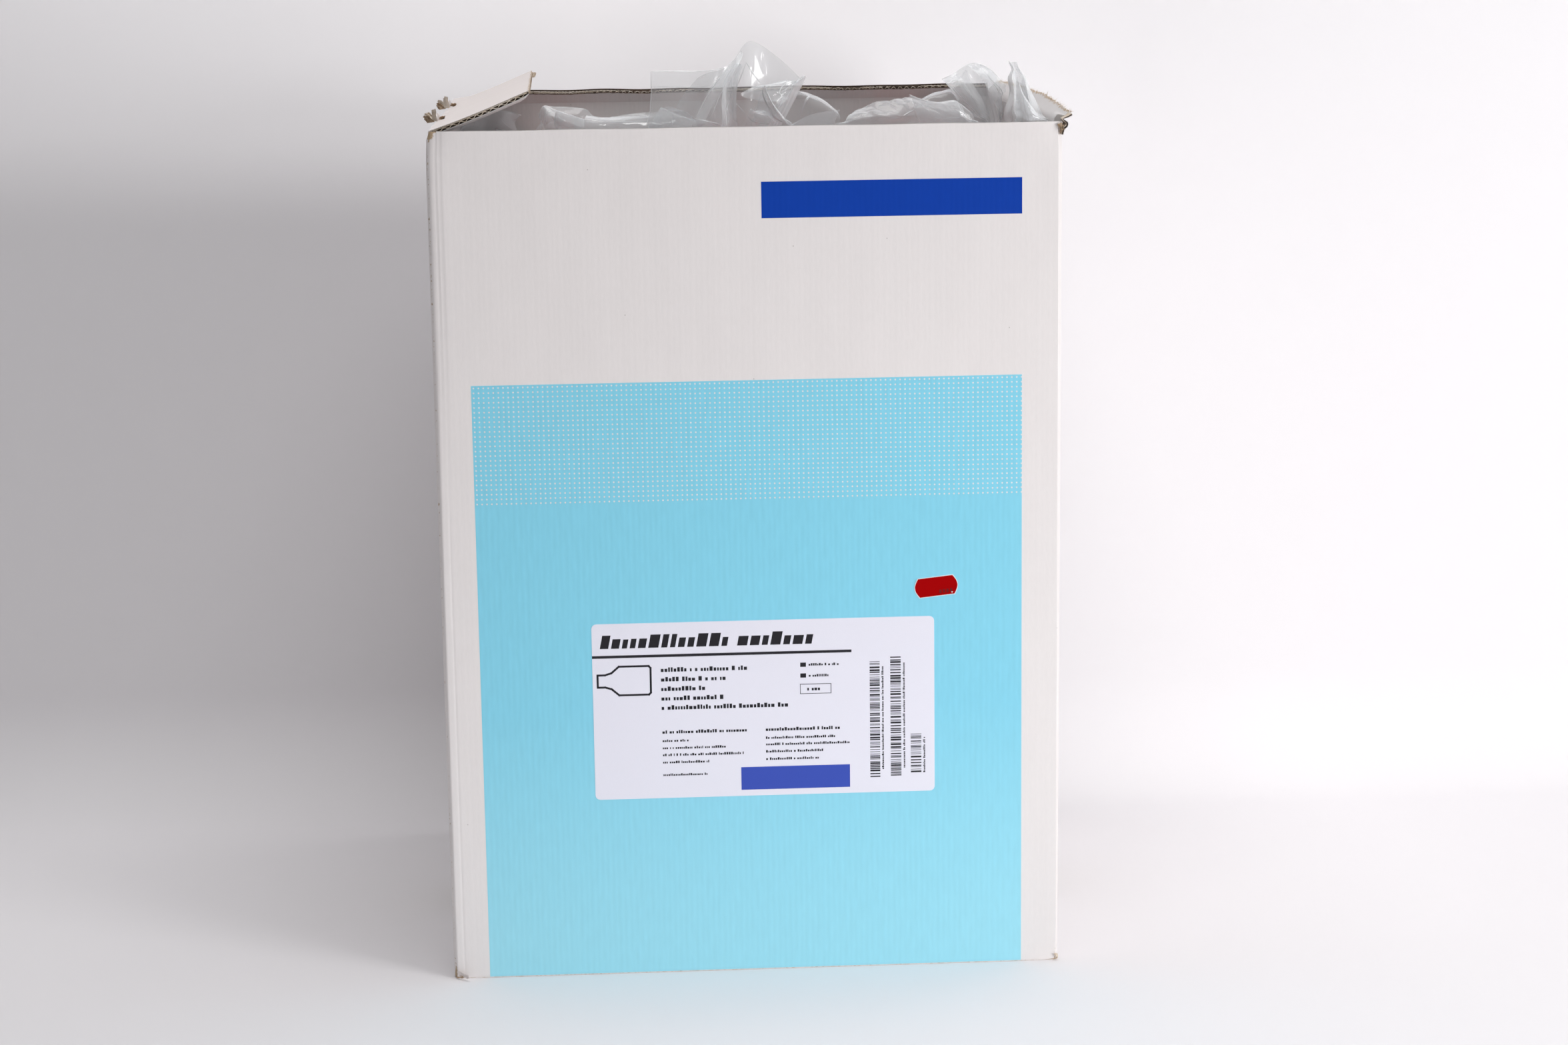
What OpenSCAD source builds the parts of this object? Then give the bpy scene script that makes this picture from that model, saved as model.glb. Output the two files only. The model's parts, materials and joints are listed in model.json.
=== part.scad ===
// Opened shipping carton, packed with clear film bags of screw-capped cell culture flasks.
// The origin is the middle of the base, the front wall faces -Y, +Z is up, and all sizes are in millimetres.

/* [Flask] */
// Width of one flask across its flat face
flask_w = 114.4; // [95:0.1:130]
// Thickness of one flask between its two flat faces
flask_t = 35.9; // [32:0.1:45]
// Height of the straight sides, below the shoulders
flask_side_h = 148; // [110:1:170]
// Height of the sloping shoulders
shoulder_h = 42; // [28:1:55]
// Thickness of the moulded wall
flask_wall = 1.5; // [1:0.1:2.5]
// Radius of the four upright edges
flask_edge_r = 6; // [4:0.5:10]
// Outer radius of the neck
neck_r = 13.5; // [11:0.1:14.5]
// Flat ledge round the foot of the neck, inside the sloping shoulders
neck_ledge = 4; // [2:0.5:6]
// Height of the neck above the shoulders
neck_h = 40; // [34:1:50]

/* [Cap] */
// Radial gap between the neck and the skirt of its cap
cap_clear = 0.3; // [0.2:0.05:0.6]
// Thickness of the skirt
cap_wall = 2; // [1.4:0.1:2.6]
// Thickness of the cap's top
cap_top_t = 2; // [1.5:0.1:3]
// Height of the skirt over the neck
cap_skirt_h = 28; // [18:1:32]
// Thickness of the vent filter between the neck's rim and the cap
vent_t = 0.3; // [0.2:0.05:0.6]
// Length of each of the four vent slots through the cap's top
vent_slot_l = 7; // [4:0.5:8]
// Width of a vent slot
vent_slot_w = 1.6; // [1:0.1:2.5]

/* [Film bag] */
// Thickness of the film
film_t = 0.4; // [0.3:0.05:0.6]
// Gap between the film and the flasks, and between one flask and the next
film_gap = 0.3; // [0.2:0.05:1]
// Radius of a bag's upright edges
bag_edge_r = 1.2; // [1:0.1:3]
// How far a bag's slack roof swells above its edges
roof_swell = 11; // [6:1:16]
// Height of the long wrinkles in a slack roof
wrinkle_h = 2; // [0.5:0.5:3]
// Height of the tallest gathered neck above its bag's edges
tail_h = 72; // [60:1:85]
// Half the thickness of a gathered bag neck at its end
gather_half_t = 0.6; // [0.4:0.1:1]
// How far the gathered neck wanders to each side
gather_wander = 4; // [0:0.5:6]

/* [Packing] */
// Gap between bags that stand side by side
bag_gap = 0.6; // [0.3:0.1:3]
// Gap between the two rows of bags
row_gap = 1.2; // [0.3:0.1:5]
// Gap between the bags and the two side walls
side_gap = 2.2; // [0.5:0.1:8]
// Gap between the bags and the front and rear walls
end_gap = 4; // [0.5:0.1:8]
// Gap under the bags and between the two layers
layer_gap = 0.3; // [0.3:0.1:1]
// Height from the edges of the upper bags to the carton's rim
head_room = 29; // [26:0.5:60]

/* [Board] */
// Thickness of each of the three paper liners
liner_t = 0.4; // [0.3:0.05:0.6]
// Height of the fine outer fluting
fine_flute_h = 1.1; // [0.8:0.1:1.6]
// Height of the coarse inner fluting
coarse_flute_h = 2.2; // [1.8:0.1:3.4]
// Pitch of the coarse fluting
coarse_pitch = 6.3; // [5.5:0.1:8]
// Depth of the open flute cells at a cut edge
cell_depth = 8; // [3:0.5:12]

/* [Carton] */
// Outer radius of the upright folds
fold_r = 4; // [2:0.5:6]
// Length of the inner flaps of the base
inner_flap_l = 155; // [100:1:170]
// Slit between the two outer flaps of the base
base_slit = 1; // [0.5:0.1:3]
// Clearance of the moving flap at its crease
crease_clear = 0.3; // [0.2:0.05:1]
// Clearance of the moving flap from the front wall
slot_clear = 3; // [1:0.5:8]
// Clearance of the moving flap from the stub of the rear flap
stub_clear = 0.6; // [0.4:0.1:3]
// Length of the left flap at its front end
flap_front_l = 62.5; // [30:0.5:110]
// Length of the left flap at its rear end
flap_rear_l = 57; // [30:0.5:110]
// How far the left flap stands above level
flap_rest = 20; // [5:1:60]
// Length of the rear flap's cut stub
rear_stub_l = 8.5; // [5:0.5:15]
// How far the rear stub stands above level, leaning inwards
rear_stub_rise = 55; // [40:1:75]
// Length of the right flap's torn stub at its front end
torn_front_l = 7.5; // [5:0.5:14]
// Length of the right flap's torn stub at its rear end
torn_rear_l = 12; // [5:0.5:18]
// How far the torn stub stands above level, leaning outwards
torn_rise = 42; // [30:1:60]
// Raggedness of the torn edge
torn_rough = 0.8; // [0:0.1:1.5]
// Reach of the crumpled board beyond the right wall at the split front corner
curl_reach = 4.6; // [3:0.1:7]
// Drop of the crumpled board below the rim
curl_drop = 7.7; // [5:0.1:12]

/* [Print] */
// Thickness of the printed fields, let into the board
ink_t = 0.15; // [0.1:0.05:0.3]
// Bare board to the left of the printed field
print_left = 20; // [10:0.5:40]
// Bare board to the right of the printed field
print_right = 21.2; // [10:0.5:40]
// Bare board above the printed field
print_top = 146.5; // [100:0.5:200]
// Length of the plain bar above the printed field
bar_l = 151; // [60:1:160]
// Height of the plain bar
bar_h = 21; // [8:0.5:40]
// Distance of the bar's middle below the rim
bar_drop = 42; // [30:0.5:60]

/* [Labels] */
// Width of the case label
label_w = 202.8; // [120:0.2:240]
// Height of the case label
label_h = 107.2; // [60:0.2:140]
// Radius of the case label's corners
label_r = 3; // [1:0.5:8]
// Distance of the label's middle to the right of the carton's middle
label_x = 6.3; // [-20:0.1:20]
// Height of the label's lower edge above the base
label_z = 109.1; // [40:0.1:140]
// Thickness of the label's paper
label_t = 0.15; // [0.1:0.05:0.3]
// Length of the price sticker
sticker_l = 26; // [20:0.5:40]
// Height of the price sticker
sticker_h = 12; // [8:0.5:20]
// Tilt of the price sticker
sticker_tilt = 6; // [0:1:20]
// Height of the sticker's middle above the case label
sticker_up = 17.8; // [12:0.2:40]
// Distance of the sticker's middle beyond the case label's right edge
sticker_out = 1.3; // [-10:0.1:10]
// How far each end of the sticker bulges past its corners
sticker_bulge = 2.4; // [1:0.1:4]

/* [Tape] */
// Width of the tape along the base
tape_w = 50; // [36:1:75]
// Thickness of the tape
tape_t = 0.15; // [0.1:0.05:0.3]
// Length of tape turned up each side wall
tape_up = 55; // [20:1:90]

/* [Hidden] */
$fn = 32;
bite = 1;                          // how far a cutter passes a face, or a joined piece reaches into its carrier
flasks_in_bag = 4;
vent_hub_r = 2;                    // solid middle of the cap's top, between its vent slots
flute_wall = 0.45;                 // board left between the open cells of the fluting
layer_names = ["lower", "upper"];
row_names = ["front", "rear"];
col_names = ["left", "middle", "right"];

// Flask and cap, upwards from the flask's base
shoulder_z = flask_side_h + shoulder_h;
neck_z = shoulder_z + neck_h;
cap_in_r = neck_r + cap_clear;
cap_r = cap_in_r + cap_wall;
cap_z = neck_z + vent_t;
flask_h = cap_z + cap_top_t;
shoulder_foot = neck_r + neck_ledge;
shoulder_run = flask_w / 2 - shoulder_foot;
shoulder_slant = norm([shoulder_run, shoulder_h]);

// Bag
flask_pitch = flask_t + film_gap;
bag_w = flask_w + 2 * (film_gap + film_t);
bag_d = flasks_in_bag * flask_pitch + film_gap + 2 * film_t;
bag_h = flask_h + 2 * (film_gap + film_t);

// Carton
board_t = 3 * liner_t + fine_flute_h + coarse_flute_h;
inner_w = len(col_names) * bag_w + (len(col_names) - 1) * bag_gap + 2 * side_gap;
inner_d = len(row_names) * bag_d + (len(row_names) - 1) * row_gap + 2 * end_gap;
outer_w = inner_w + 2 * board_t;
outer_d = inner_d + 2 * board_t;
floor_z = 2 * board_t;
layer_pitch = bag_h + layer_gap;
rim_z = floor_z + len(layer_names) * layer_pitch + head_room;
front_y = -outer_d / 2;
rear_stub_reach = rear_stub_l * cos(rear_stub_rise) + board_t * sin(rear_stub_rise);
flap_front_y = -inner_d / 2 + slot_clear;
flap_rear_y = outer_d / 2 - rear_stub_reach - stub_clear;

// Gathered bag necks, for [row][column]: [place across the bag from -1 to 1, height in hundredths of the tallest]
crests = [
    [
        [[-1, 11], [-0.5, 14], [-0.04, 17], [0.1, 43], [0.34, 51], [0.55, 46], [0.86, 28], [1, 14]],
        [[-1, 17], [-0.92, 18], [-0.9, 80], [-0.31, 80], [0.14, 100], [0.4, 86], [0.67, 68], [0.7, 21], [1, 17]],
        [[-1, 22], [-0.7, 33], [-0.25, 54], [0.08, 49], [0.35, 51], [0.66, 42], [0.76, 56], [0.81, 82],
         [0.91, 82], [0.96, 47], [1, 22]]
    ],
    [
        [[-1, 11], [-0.86, 25], [-0.35, 29], [-0.08, 28], [0.04, 14], [0.5, 17], [1, 11]],
        [[-1, 17], [-0.3, 22], [0.25, 19], [0.5, 42], [0.78, 50], [0.94, 33], [1, 17]],
        [[-1, 17], [-0.4, 24], [0.17, 19], [0.33, 36], [0.36, 61], [0.53, 65], [0.72, 74], [0.9, 56], [1, 17]]
    ]
];
// Across the neck: [distance from its middle line in gather half thicknesses, share of the crest's height]
gather_section = [[1, 1], [5, 0.45], [16, 0.2], [42, 0.07], [84, 0.02]];

bags = [for (k = [0 : len(layer_names) - 1], j = [0 : len(row_names) - 1], i = [0 : len(col_names) - 1]) [k, j, i]];

function bag_name(what, bag) =
    str(layer_names[bag[0]], "_", row_names[bag[1]], "_", col_names[bag[2]], "_", what);

function bag_place(bag) = [
    (bag[2] - (len(col_names) - 1) / 2) * (bag_w + bag_gap),
    (bag[1] - (len(row_names) - 1) / 2) * (bag_d + row_gap),
    floor_z + layer_gap + bag[0] * layer_pitch
];

// Rectangle with round corners, centred
module rounded_rect(w, d, r) {
    square([w - 2 * r, d], center = true);
    square([w, d - 2 * r], center = true);
    for (x = [-1, 1], y = [-1, 1])
        translate([x * (w / 2 - r), y * (d / 2 - r)])
            circle(r);
}

// ---- Flask ----

// Half width of the shoulders at height z, for a skin moved inwards by inset
function shoulder_x(z, inset) =
    flask_w / 2 - (inset * shoulder_slant + (z - flask_side_h) * shoulder_run) / shoulder_h;

// The flask's body as a solid block whose skin is moved inwards by inset
module flask_block(inset) {
    low = flask_side_h - 5 * flask_wall;
    top = shoulder_z - inset;
    intersection() {
        translate([0, 0, inset])
            linear_extrude(top - inset)
                rounded_rect(flask_w - 2 * inset, flask_t - 2 * inset, flask_edge_r - inset);
        translate([0, flask_t, 0])
            rotate([90, 0, 0])
                linear_extrude(2 * flask_t)
                    polygon([
                        [-shoulder_x(low, inset), -bite], [shoulder_x(low, inset), -bite],
                        [shoulder_x(low, inset), low], [shoulder_x(top + bite, inset), top + bite],
                        [-shoulder_x(top + bite, inset), top + bite], [-shoulder_x(low, inset), low]
                    ]);
    }
}

module flask() {
    difference() {
        union() {
            flask_block(0);
            translate([0, 0, shoulder_z - bite])
                cylinder(r = neck_r, h = neck_h + bite);
        }
        flask_block(flask_wall);
        translate([0, 0, shoulder_z - flask_wall - bite])
            cylinder(r = neck_r - flask_wall, h = neck_h + flask_wall + 2 * bite);
    }
}

module cap() {
    difference() {
        translate([0, 0, neck_z - cap_skirt_h])
            cylinder(r = cap_r, h = cap_skirt_h + vent_t + cap_top_t);
        translate([0, 0, neck_z - cap_skirt_h - bite])
            cylinder(r = cap_in_r, h = cap_skirt_h + vent_t + bite);
        for (turn = [45 : 90 : 315])
            rotate([0, 0, turn])
                translate([vent_hub_r, -vent_slot_w / 2, cap_z - bite])
                    cube([vent_slot_l, vent_slot_w, cap_top_t + 2 * bite]);
    }
}

module vent_filter() {
    translate([0, 0, neck_z])
        cylinder(r = neck_r, h = vent_t);
}

// Sets its children at each flask's place in a bag
module in_bag(bag) {
    translate(bag_place(bag) + [0, 0, film_t + film_gap])
        for (n = [0 : flasks_in_bag - 1])
            translate([0, (n - (flasks_in_bag - 1) / 2) * flask_pitch, 0])
                children();
}

module flasks(bag) { color([0.86, 0.88, 0.89]) in_bag(bag) flask(); }
module caps(bag) { color([0.13, 0.33, 0.62]) in_bag(bag) cap(); }
module vents(bag) { color([0.95, 0.95, 0.94]) in_bag(bag) vent_filter(); }

// ---- Film bag ----

// Slack roof at u, v from -1 to 1 across the bag: a low pillow with a few long wrinkles
function roof_z(u, v, phase) =
    (1 - pow(u, 4)) * (1 - pow(v, 4)) *
    (roof_swell + wrinkle_h * sin(250 * u + 140 * v + phase) * cos(190 * v - 90 * u + 2 * phase));

// Thin wrinkled roof whose film is drawn up into an upstanding gathered neck
module gathered_roof(crest, phase) {
    half_w = bag_w / 2 - film_t / 4;
    half_d = bag_d / 2 - film_t / 4;
    xs = [for (c = crest) c[0]];
    inside = [for (g = gather_section) if (g[0] * gather_half_t < half_d - 2 * gather_wander) g];
    rear = concat(inside, [[half_d / gather_half_t, 0]]);
    ny = 2 * len(rear);
    section = [for (n = [0 : ny - 1]) n < ny / 2 ? [-rear[ny / 2 - 1 - n][0], rear[ny / 2 - 1 - n][1]] : rear[n - ny / 2]];
    nx = len(xs);
    top = [for (x = xs, s = section)
        let (edge = abs(s[0] * gather_half_t) / half_d,
             y = s[0] * gather_half_t + gather_wander * sin(200 * x + phase) * (1 - edge * edge),
             roof = roof_z(x, y / half_d, phase))
        [x * half_w, y, roof + s[1] * max(0, lookup(x, crest) * tail_h / 100 - roof)]];
    low = [for (x = xs, s = section)
        let (edge = abs(s[0] * gather_half_t) / half_d,
             y = s[0] * gather_half_t + gather_wander * sin(200 * x + phase) * (1 - edge * edge))
        [x * half_w, y, roof_z(x, y / half_d, phase) - film_t]];
    n = nx * ny;
    across = [for (a = [0 : nx - 2], b = [0 : ny - 2]) [a * ny + b, a * ny + b + 1, a * ny + b + ny + 1, a * ny + b + ny]];
    rim = concat(
        [for (b = [0 : ny - 2]) [b, b + 1]],
        [for (a = [0 : nx - 2]) [a * ny + ny - 1, (a + 1) * ny + ny - 1]],
        [for (b = [ny - 1 : -1 : 1]) [(nx - 1) * ny + b, (nx - 1) * ny + b - 1]],
        [for (a = [nx - 1 : -1 : 1]) [a * ny, (a - 1) * ny]]
    );
    polyhedron(
        points = concat(top, low),
        faces = concat(
            [for (q = across) [q[0], q[1], q[2]]],
            [for (q = across) [q[0], q[2], q[3]]],
            [for (q = across) [q[2] + n, q[1] + n, q[0] + n]],
            [for (q = across) [q[3] + n, q[2] + n, q[0] + n]],
            [for (e = rim) [e[1], e[0], e[0] + n]],
            [for (e = rim) [e[1], e[0] + n, e[1] + n]]
        )
    );
}

// Film round four flasks. An upper bag has an open-topped skin under its gathered roof, a lower one a flat roof.
module film(bag) {
    upper = bag[0] == len(layer_names) - 1;
    skin_h = upper ? bag_h - film_t / 2 : bag_h;
    color([0.82, 0.86, 0.88, 0.5])
        translate(bag_place(bag)) {
            difference() {
                linear_extrude(skin_h)
                    rounded_rect(bag_w, bag_d, bag_edge_r);
                translate([0, 0, film_t])
                    linear_extrude(upper ? bag_h : bag_h - 2 * film_t)
                        rounded_rect(bag_w - 2 * film_t, bag_d - 2 * film_t, bag_edge_r - film_t);
            }
            if (upper)
                translate([0, 0, bag_h])
                    gathered_roof(crests[bag[1]][bag[2]], 70 * bag[2] + 160 * bag[1]);
        }
}

// ---- Board ----

// Open cells of the coarse fluting along an edge of that length. The edge lies on X at z = 0,
// the board runs down from it, and its thickness goes from the outer face at y = 0 to the inner face at y = board_t.
module flute_cells(length) {
    low_y = 2 * liner_t + fine_flute_h;
    high_y = board_t - liner_t;
    base = coarse_pitch / 2 - flute_wall;
    top = coarse_pitch / 5;
    count = floor(length / coarse_pitch) - 1;
    for (n = [0 : count - 1])
        translate([(n - (count - 1) / 2) * coarse_pitch, 0, -cell_depth])
            linear_extrude(cell_depth + bite)
                polygon([[-base, high_y], [-top, low_y + flute_wall], [top, low_y + flute_wall], [base, high_y]]);
}

// Cut stub of the rear flap, leaning inwards from its crease on the rear wall
module rear_stub() {
    up = [-cos(rear_stub_rise), sin(rear_stub_rise)];
    inwards = [-sin(rear_stub_rise), -cos(rear_stub_rise)];
    crease = [outer_d / 2, rim_z];
    tip = crease + rear_stub_l * up;
    inner_crease_z = rim_z + board_t * ((1 - sin(rear_stub_rise)) * tan(rear_stub_rise) - cos(rear_stub_rise));
    stub_w = outer_w - 2 * fold_r;
    translate([-stub_w / 2, 0, 0])
        rotate([90, 0, 90])
            linear_extrude(stub_w)
                polygon([
                    crease, tip, tip + board_t * inwards, [outer_d / 2 - board_t, inner_crease_z],
                    [outer_d / 2 - board_t + liner_t, rim_z - board_t], [outer_d / 2 - liner_t, rim_z - board_t]
                ]);
}

// Torn stub of the right flap, folded outwards, with a ragged edge. Its knee joins it to the right wall.
module torn_stub() {
    steps = 34;
    back = outer_d / 2 - fold_r;
    rough = rands(-torn_rough, torn_rough, steps + 1, 11);
    edge = [for (n = [0 : steps])
        let (s = n / steps)
        [torn_front_l + (torn_rear_l - torn_front_l) * s + rough[n], -back + 2 * back * s]];
    crease = [outer_w / 2, rim_z];
    inner_crease = crease + board_t * [-sin(torn_rise), cos(torn_rise)];
    translate([0, back, 0])
        rotate([90, 0, 0])
            linear_extrude(2 * back)
                polygon([
                    crease, inner_crease, [outer_w / 2 - board_t, rim_z],
                    [outer_w / 2 - board_t + liner_t, rim_z - board_t], [outer_w / 2 - liner_t, rim_z - board_t]
                ]);
    translate([crease[0], 0, crease[1]])
        rotate([0, -torn_rise, 0])
            linear_extrude(board_t)
                polygon(concat([[-liner_t, -back]], edge, [[-liner_t, back]]));
}

// Crumpled board that hangs from the torn stub's front end beside the split corner
module corner_curl() {
    translate([outer_w / 2, front_y + fold_r + board_t, rim_z])
        rotate([90, 0, 0])
            linear_extrude(board_t)
                polygon([
                    [-liner_t, 0], [0.5 * curl_reach, 0.2 * curl_drop], [curl_reach, -0.1 * curl_drop],
                    [0.45 * curl_reach, -0.66 * curl_drop], [0.35 * curl_reach, -curl_drop], [-liner_t, -0.9 * curl_drop]
                ]);
}

module walls_and_base() {
    difference() {
        linear_extrude(rim_z)
            rounded_rect(outer_w, outer_d, fold_r);
        // Room above the inner flaps of the base
        translate([-inner_w / 2, -inner_d / 2, floor_z])
            cube([inner_w, inner_d, rim_z]);
        // Gap between the inner flaps, which don't meet
        translate([-(outer_w / 2 - inner_flap_l), -inner_d / 2, board_t])
            cube([outer_w - 2 * inner_flap_l, inner_d, floor_z]);
        // Slit where the outer flaps meet
        translate([-inner_w / 2, -base_slit / 2, -bite])
            cube([inner_w, base_slit, board_t + bite]);
        // Left wall lowered for the moving flap, which lies on it when closed
        translate([-outer_w / 2 - bite, -inner_d / 2, rim_z - board_t - crease_clear])
            cube([board_t + 2 * bite, inner_d, board_t + bite]);
    }
}

module carton_blank() {
    color([0.88, 0.87, 0.87])
        difference() {
            union() {
                walls_and_base();
                rear_stub();
                torn_stub();
                corner_curl();
            }
            // Flute cells of the front wall's cut edge
            translate([0, front_y, rim_z])
                flute_cells(inner_w);
            // Flute cells of the rear stub's cut edge
            translate([0, outer_d / 2, rim_z])
                rotate([90 - rear_stub_rise, 0, 0])
                    translate([0, 0, rear_stub_l])
                        mirror([0, 1, 0])
                            flute_cells(inner_w);
            // Beds of the printed fields and the tape
            print_field_solid(ink_t + bite);
            print_bar_solid(ink_t + bite);
            translate([-outer_w / 2 - bite, -tape_w / 2, -bite])
                cube([outer_w + 2 * bite, tape_w, tape_t + bite]);
        }
}

// The left flap lies flat with its hinge on the Y axis, outer face up, and is then raised
module left_flap() {
    color([0.88, 0.87, 0.87])
        translate([-outer_w / 2, 0, rim_z])
            rotate([0, -flap_rest, 0])
                difference() {
                    translate([0, 0, -board_t])
                        linear_extrude(board_t)
                            polygon([
                                [0, flap_front_y], [flap_front_l, flap_front_y],
                                [flap_rear_l, flap_rear_y], [0, flap_rear_y]
                            ]);
                    // Its free edge is cut, and shows the flutes
                    translate([flap_front_l, flap_front_y, 0])
                        rotate([0, 0, 90 + atan2(flap_front_l - flap_rear_l, flap_rear_y - flap_front_y)])
                            translate([(flap_rear_y - flap_front_y) / 2, 0, 0])
                                rotate([-90, 0, 0])
                                    flute_cells(flap_rear_y - flap_front_y);
                }
}

// ---- Print, labels and tape ----

// Sets a flat shape, drawn in X and Z, on the front face: its back lies depth inside the face, and it is thick deep
module on_front(x, z, depth, thick) {
    translate([x, front_y + depth, z])
        rotate([90, 0, 0])
            linear_extrude(thick)
                children();
}

module print_field_solid(thick) {
    on_front(-outer_w / 2 + print_left, 0, ink_t, thick)
        square([outer_w - print_left - print_right, rim_z - print_top]);
}

module print_bar_solid(thick) {
    on_front(outer_w / 2 - print_right - bar_l, rim_z - bar_drop - bar_h / 2, ink_t, thick)
        square([bar_l, bar_h]);
}

module print_field() { color([0.55, 0.81, 0.89]) print_field_solid(ink_t); }
module print_bar() { color([0.05, 0.25, 0.66]) print_bar_solid(ink_t); }

module case_label() {
    color([0.9, 0.9, 0.94])
        on_front(label_x, label_z + label_h / 2, 0, label_t)
            rounded_rect(label_w, label_h, label_r);
}

// Price sticker whose ends bulge in a wave, as a label gun cuts them
module price_sticker() {
    steps = 12;
    corner = sticker_l / 2 - sticker_bulge;
    end = [for (n = [0 : steps])
        let (t = 2 * n / steps - 1)
        [corner + sticker_bulge * (1 + cos(180 * t)) / 2, t * sticker_h / 2]];
    color([0.69, 0.04, 0.05])
        translate([label_x + label_w / 2 + sticker_out, front_y, label_z + label_h + sticker_up])
            rotate([0, -sticker_tilt, 0])
                rotate([90, 0, 0])
                    linear_extrude(label_t)
                        polygon(concat(end, [for (p = end) -p]));
}

// Tape along the slit of the base, turned up both side walls
module base_tape() {
    color([0.80, 0.72, 0.56, 0.8])
        difference() {
            translate([-outer_w / 2 - tape_t, -tape_w / 2, 0])
                cube([outer_w + 2 * tape_t, tape_w, tape_up]);
            translate([-outer_w / 2, -tape_w / 2 - bite, tape_t])
                cube([outer_w, tape_w + 2 * bite, tape_up]);
        }
}

carton_blank();
left_flap();
base_tape();
print_field();
print_bar();
case_label();
price_sticker();
for (bag = bags) {
    film(bag);
    flasks(bag);
    caps(bag);
    vents(bag);
}
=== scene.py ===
import json
import math
from functools import partial

import bpy
import numpy as np
from mathutils import Matrix, Vector


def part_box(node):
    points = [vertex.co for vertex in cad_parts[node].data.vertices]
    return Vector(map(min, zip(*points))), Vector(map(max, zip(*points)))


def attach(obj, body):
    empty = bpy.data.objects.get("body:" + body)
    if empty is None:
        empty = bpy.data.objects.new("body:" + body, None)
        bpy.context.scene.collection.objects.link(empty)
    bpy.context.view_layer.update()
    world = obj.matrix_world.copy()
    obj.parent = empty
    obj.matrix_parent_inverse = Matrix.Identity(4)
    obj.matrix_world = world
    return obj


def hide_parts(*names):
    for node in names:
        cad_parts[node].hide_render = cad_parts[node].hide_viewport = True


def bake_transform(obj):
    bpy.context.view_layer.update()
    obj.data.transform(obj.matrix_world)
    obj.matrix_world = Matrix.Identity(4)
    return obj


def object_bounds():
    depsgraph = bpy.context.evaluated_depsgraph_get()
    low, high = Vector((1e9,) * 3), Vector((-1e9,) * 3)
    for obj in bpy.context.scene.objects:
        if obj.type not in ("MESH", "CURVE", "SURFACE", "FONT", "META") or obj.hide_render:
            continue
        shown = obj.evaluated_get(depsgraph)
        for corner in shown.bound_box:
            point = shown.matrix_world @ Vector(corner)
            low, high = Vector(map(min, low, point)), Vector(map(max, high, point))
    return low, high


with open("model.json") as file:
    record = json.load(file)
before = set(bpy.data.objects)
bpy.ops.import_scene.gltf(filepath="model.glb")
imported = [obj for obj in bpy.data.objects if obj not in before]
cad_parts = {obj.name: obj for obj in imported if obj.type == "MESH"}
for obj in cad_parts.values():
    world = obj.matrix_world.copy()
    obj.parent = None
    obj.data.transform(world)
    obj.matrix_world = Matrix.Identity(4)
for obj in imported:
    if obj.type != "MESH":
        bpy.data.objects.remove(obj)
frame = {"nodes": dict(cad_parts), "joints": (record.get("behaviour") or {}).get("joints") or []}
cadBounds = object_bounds()
mm = 0.001  # all shapes below are worked out in millimetres
print("frame loaded:", len(frame["nodes"]), "nodes")


def boxOf(node):
    # A node's lowest and highest corner, in mm
    low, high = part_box(node)
    return np.array(low) / mm, np.array(high) / mm


fieldLow, fieldHigh = boxOf("print_field")
barLow, barHigh = boxOf("print_bar")
labelLow, labelHigh = boxOf("case_label")
stickerLow, stickerHigh = boxOf("price_sticker")
tapeLow, tapeHigh = boxOf("base_tape")
flapLow, flapHigh = boxOf("left_flap")
hinge = np.array(next(j for j in frame["joints"] if j["name"] == "left_flap_hinge")["pos_m"]) / mm

carton = {
    "halfWidth": -hinge[0],
    "halfDepth": -fieldLow[1],
    "rim": hinge[2],
    "board": 4.5,
    "liner": 0.4,
    "fineHeight": 1.1,      # outer fluting
    "finePitch": 3.3,
    "coarsePitch": 6.3,
    "wallBow": 1.4,         # how far the side and rear walls swell
    "frontBow": 0.25,
    "foldRadius": 3.4,
    "bottomRadius": 1.6,
}
middleLiner = carton["liner"] + carton["fineHeight"]
innerLiner = carton["board"] - carton["liner"]


def hexToLinear(colour):
    # A channel c becomes c / 12.92 near black, and ((c + 0.055) / 1.055) to the power 2.4 above that
    values = np.array([int(colour[n:n + 2], 16) for n in (1, 3, 5)]) / 255
    linear = np.where(values <= 0.04045, values / 12.92, ((values + 0.055) / 1.055) ** 2.4)
    return (*map(float, linear), 1.0)


def addNode(tree, kind, inputs=None, **settings):
    # Each input's name or number maps to a value, a socket, or a node, of which the first open socket is used
    node = tree.nodes.new("ShaderNode" + kind)
    for key, value in settings.items():
        setattr(node, key, value)
    for key, value in (inputs or {}).items():
        if isinstance(value, bpy.types.Node):
            value = next(socket for socket in value.outputs if socket.enabled)
        if isinstance(value, bpy.types.NodeSocket):
            tree.links.new(value, node.inputs[key])
        else:
            node.inputs[key].default_value = value
    return node


def newMaterial(name):
    # An empty node material, with addNode bound to its tree
    material = bpy.data.materials.new(name)
    material.use_nodes = True
    material.node_tree.nodes.clear()
    return material, partial(addNode, material.node_tree)


def smooth(low, high, x):
    # 0 below low, 1 above high, and an S-curve between them
    t = np.clip((np.asarray(x, float) - low) / (high - low), 0, 1)
    return t * t * (3 - 2 * t)


def randomWaves(seed, length, count=7):
    # Mean of a few sines with random directions and phases, each about `length` mm long, in about -1 to 1
    random = np.random.default_rng(seed)
    angle = random.uniform(0, 2 * math.pi, count)
    phase = random.uniform(0, 2 * math.pi, count)
    rate = 2 * math.pi / (length * random.uniform(0.6, 1.7, count))

    def height(x, y):
        x, y = np.broadcast_arrays(np.asarray(x, float), np.asarray(y, float))
        along = x[..., None] * np.cos(angle) + y[..., None] * np.sin(angle)
        return 1.7 * np.sin(along * rate + phase).mean(-1)

    return height


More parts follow.
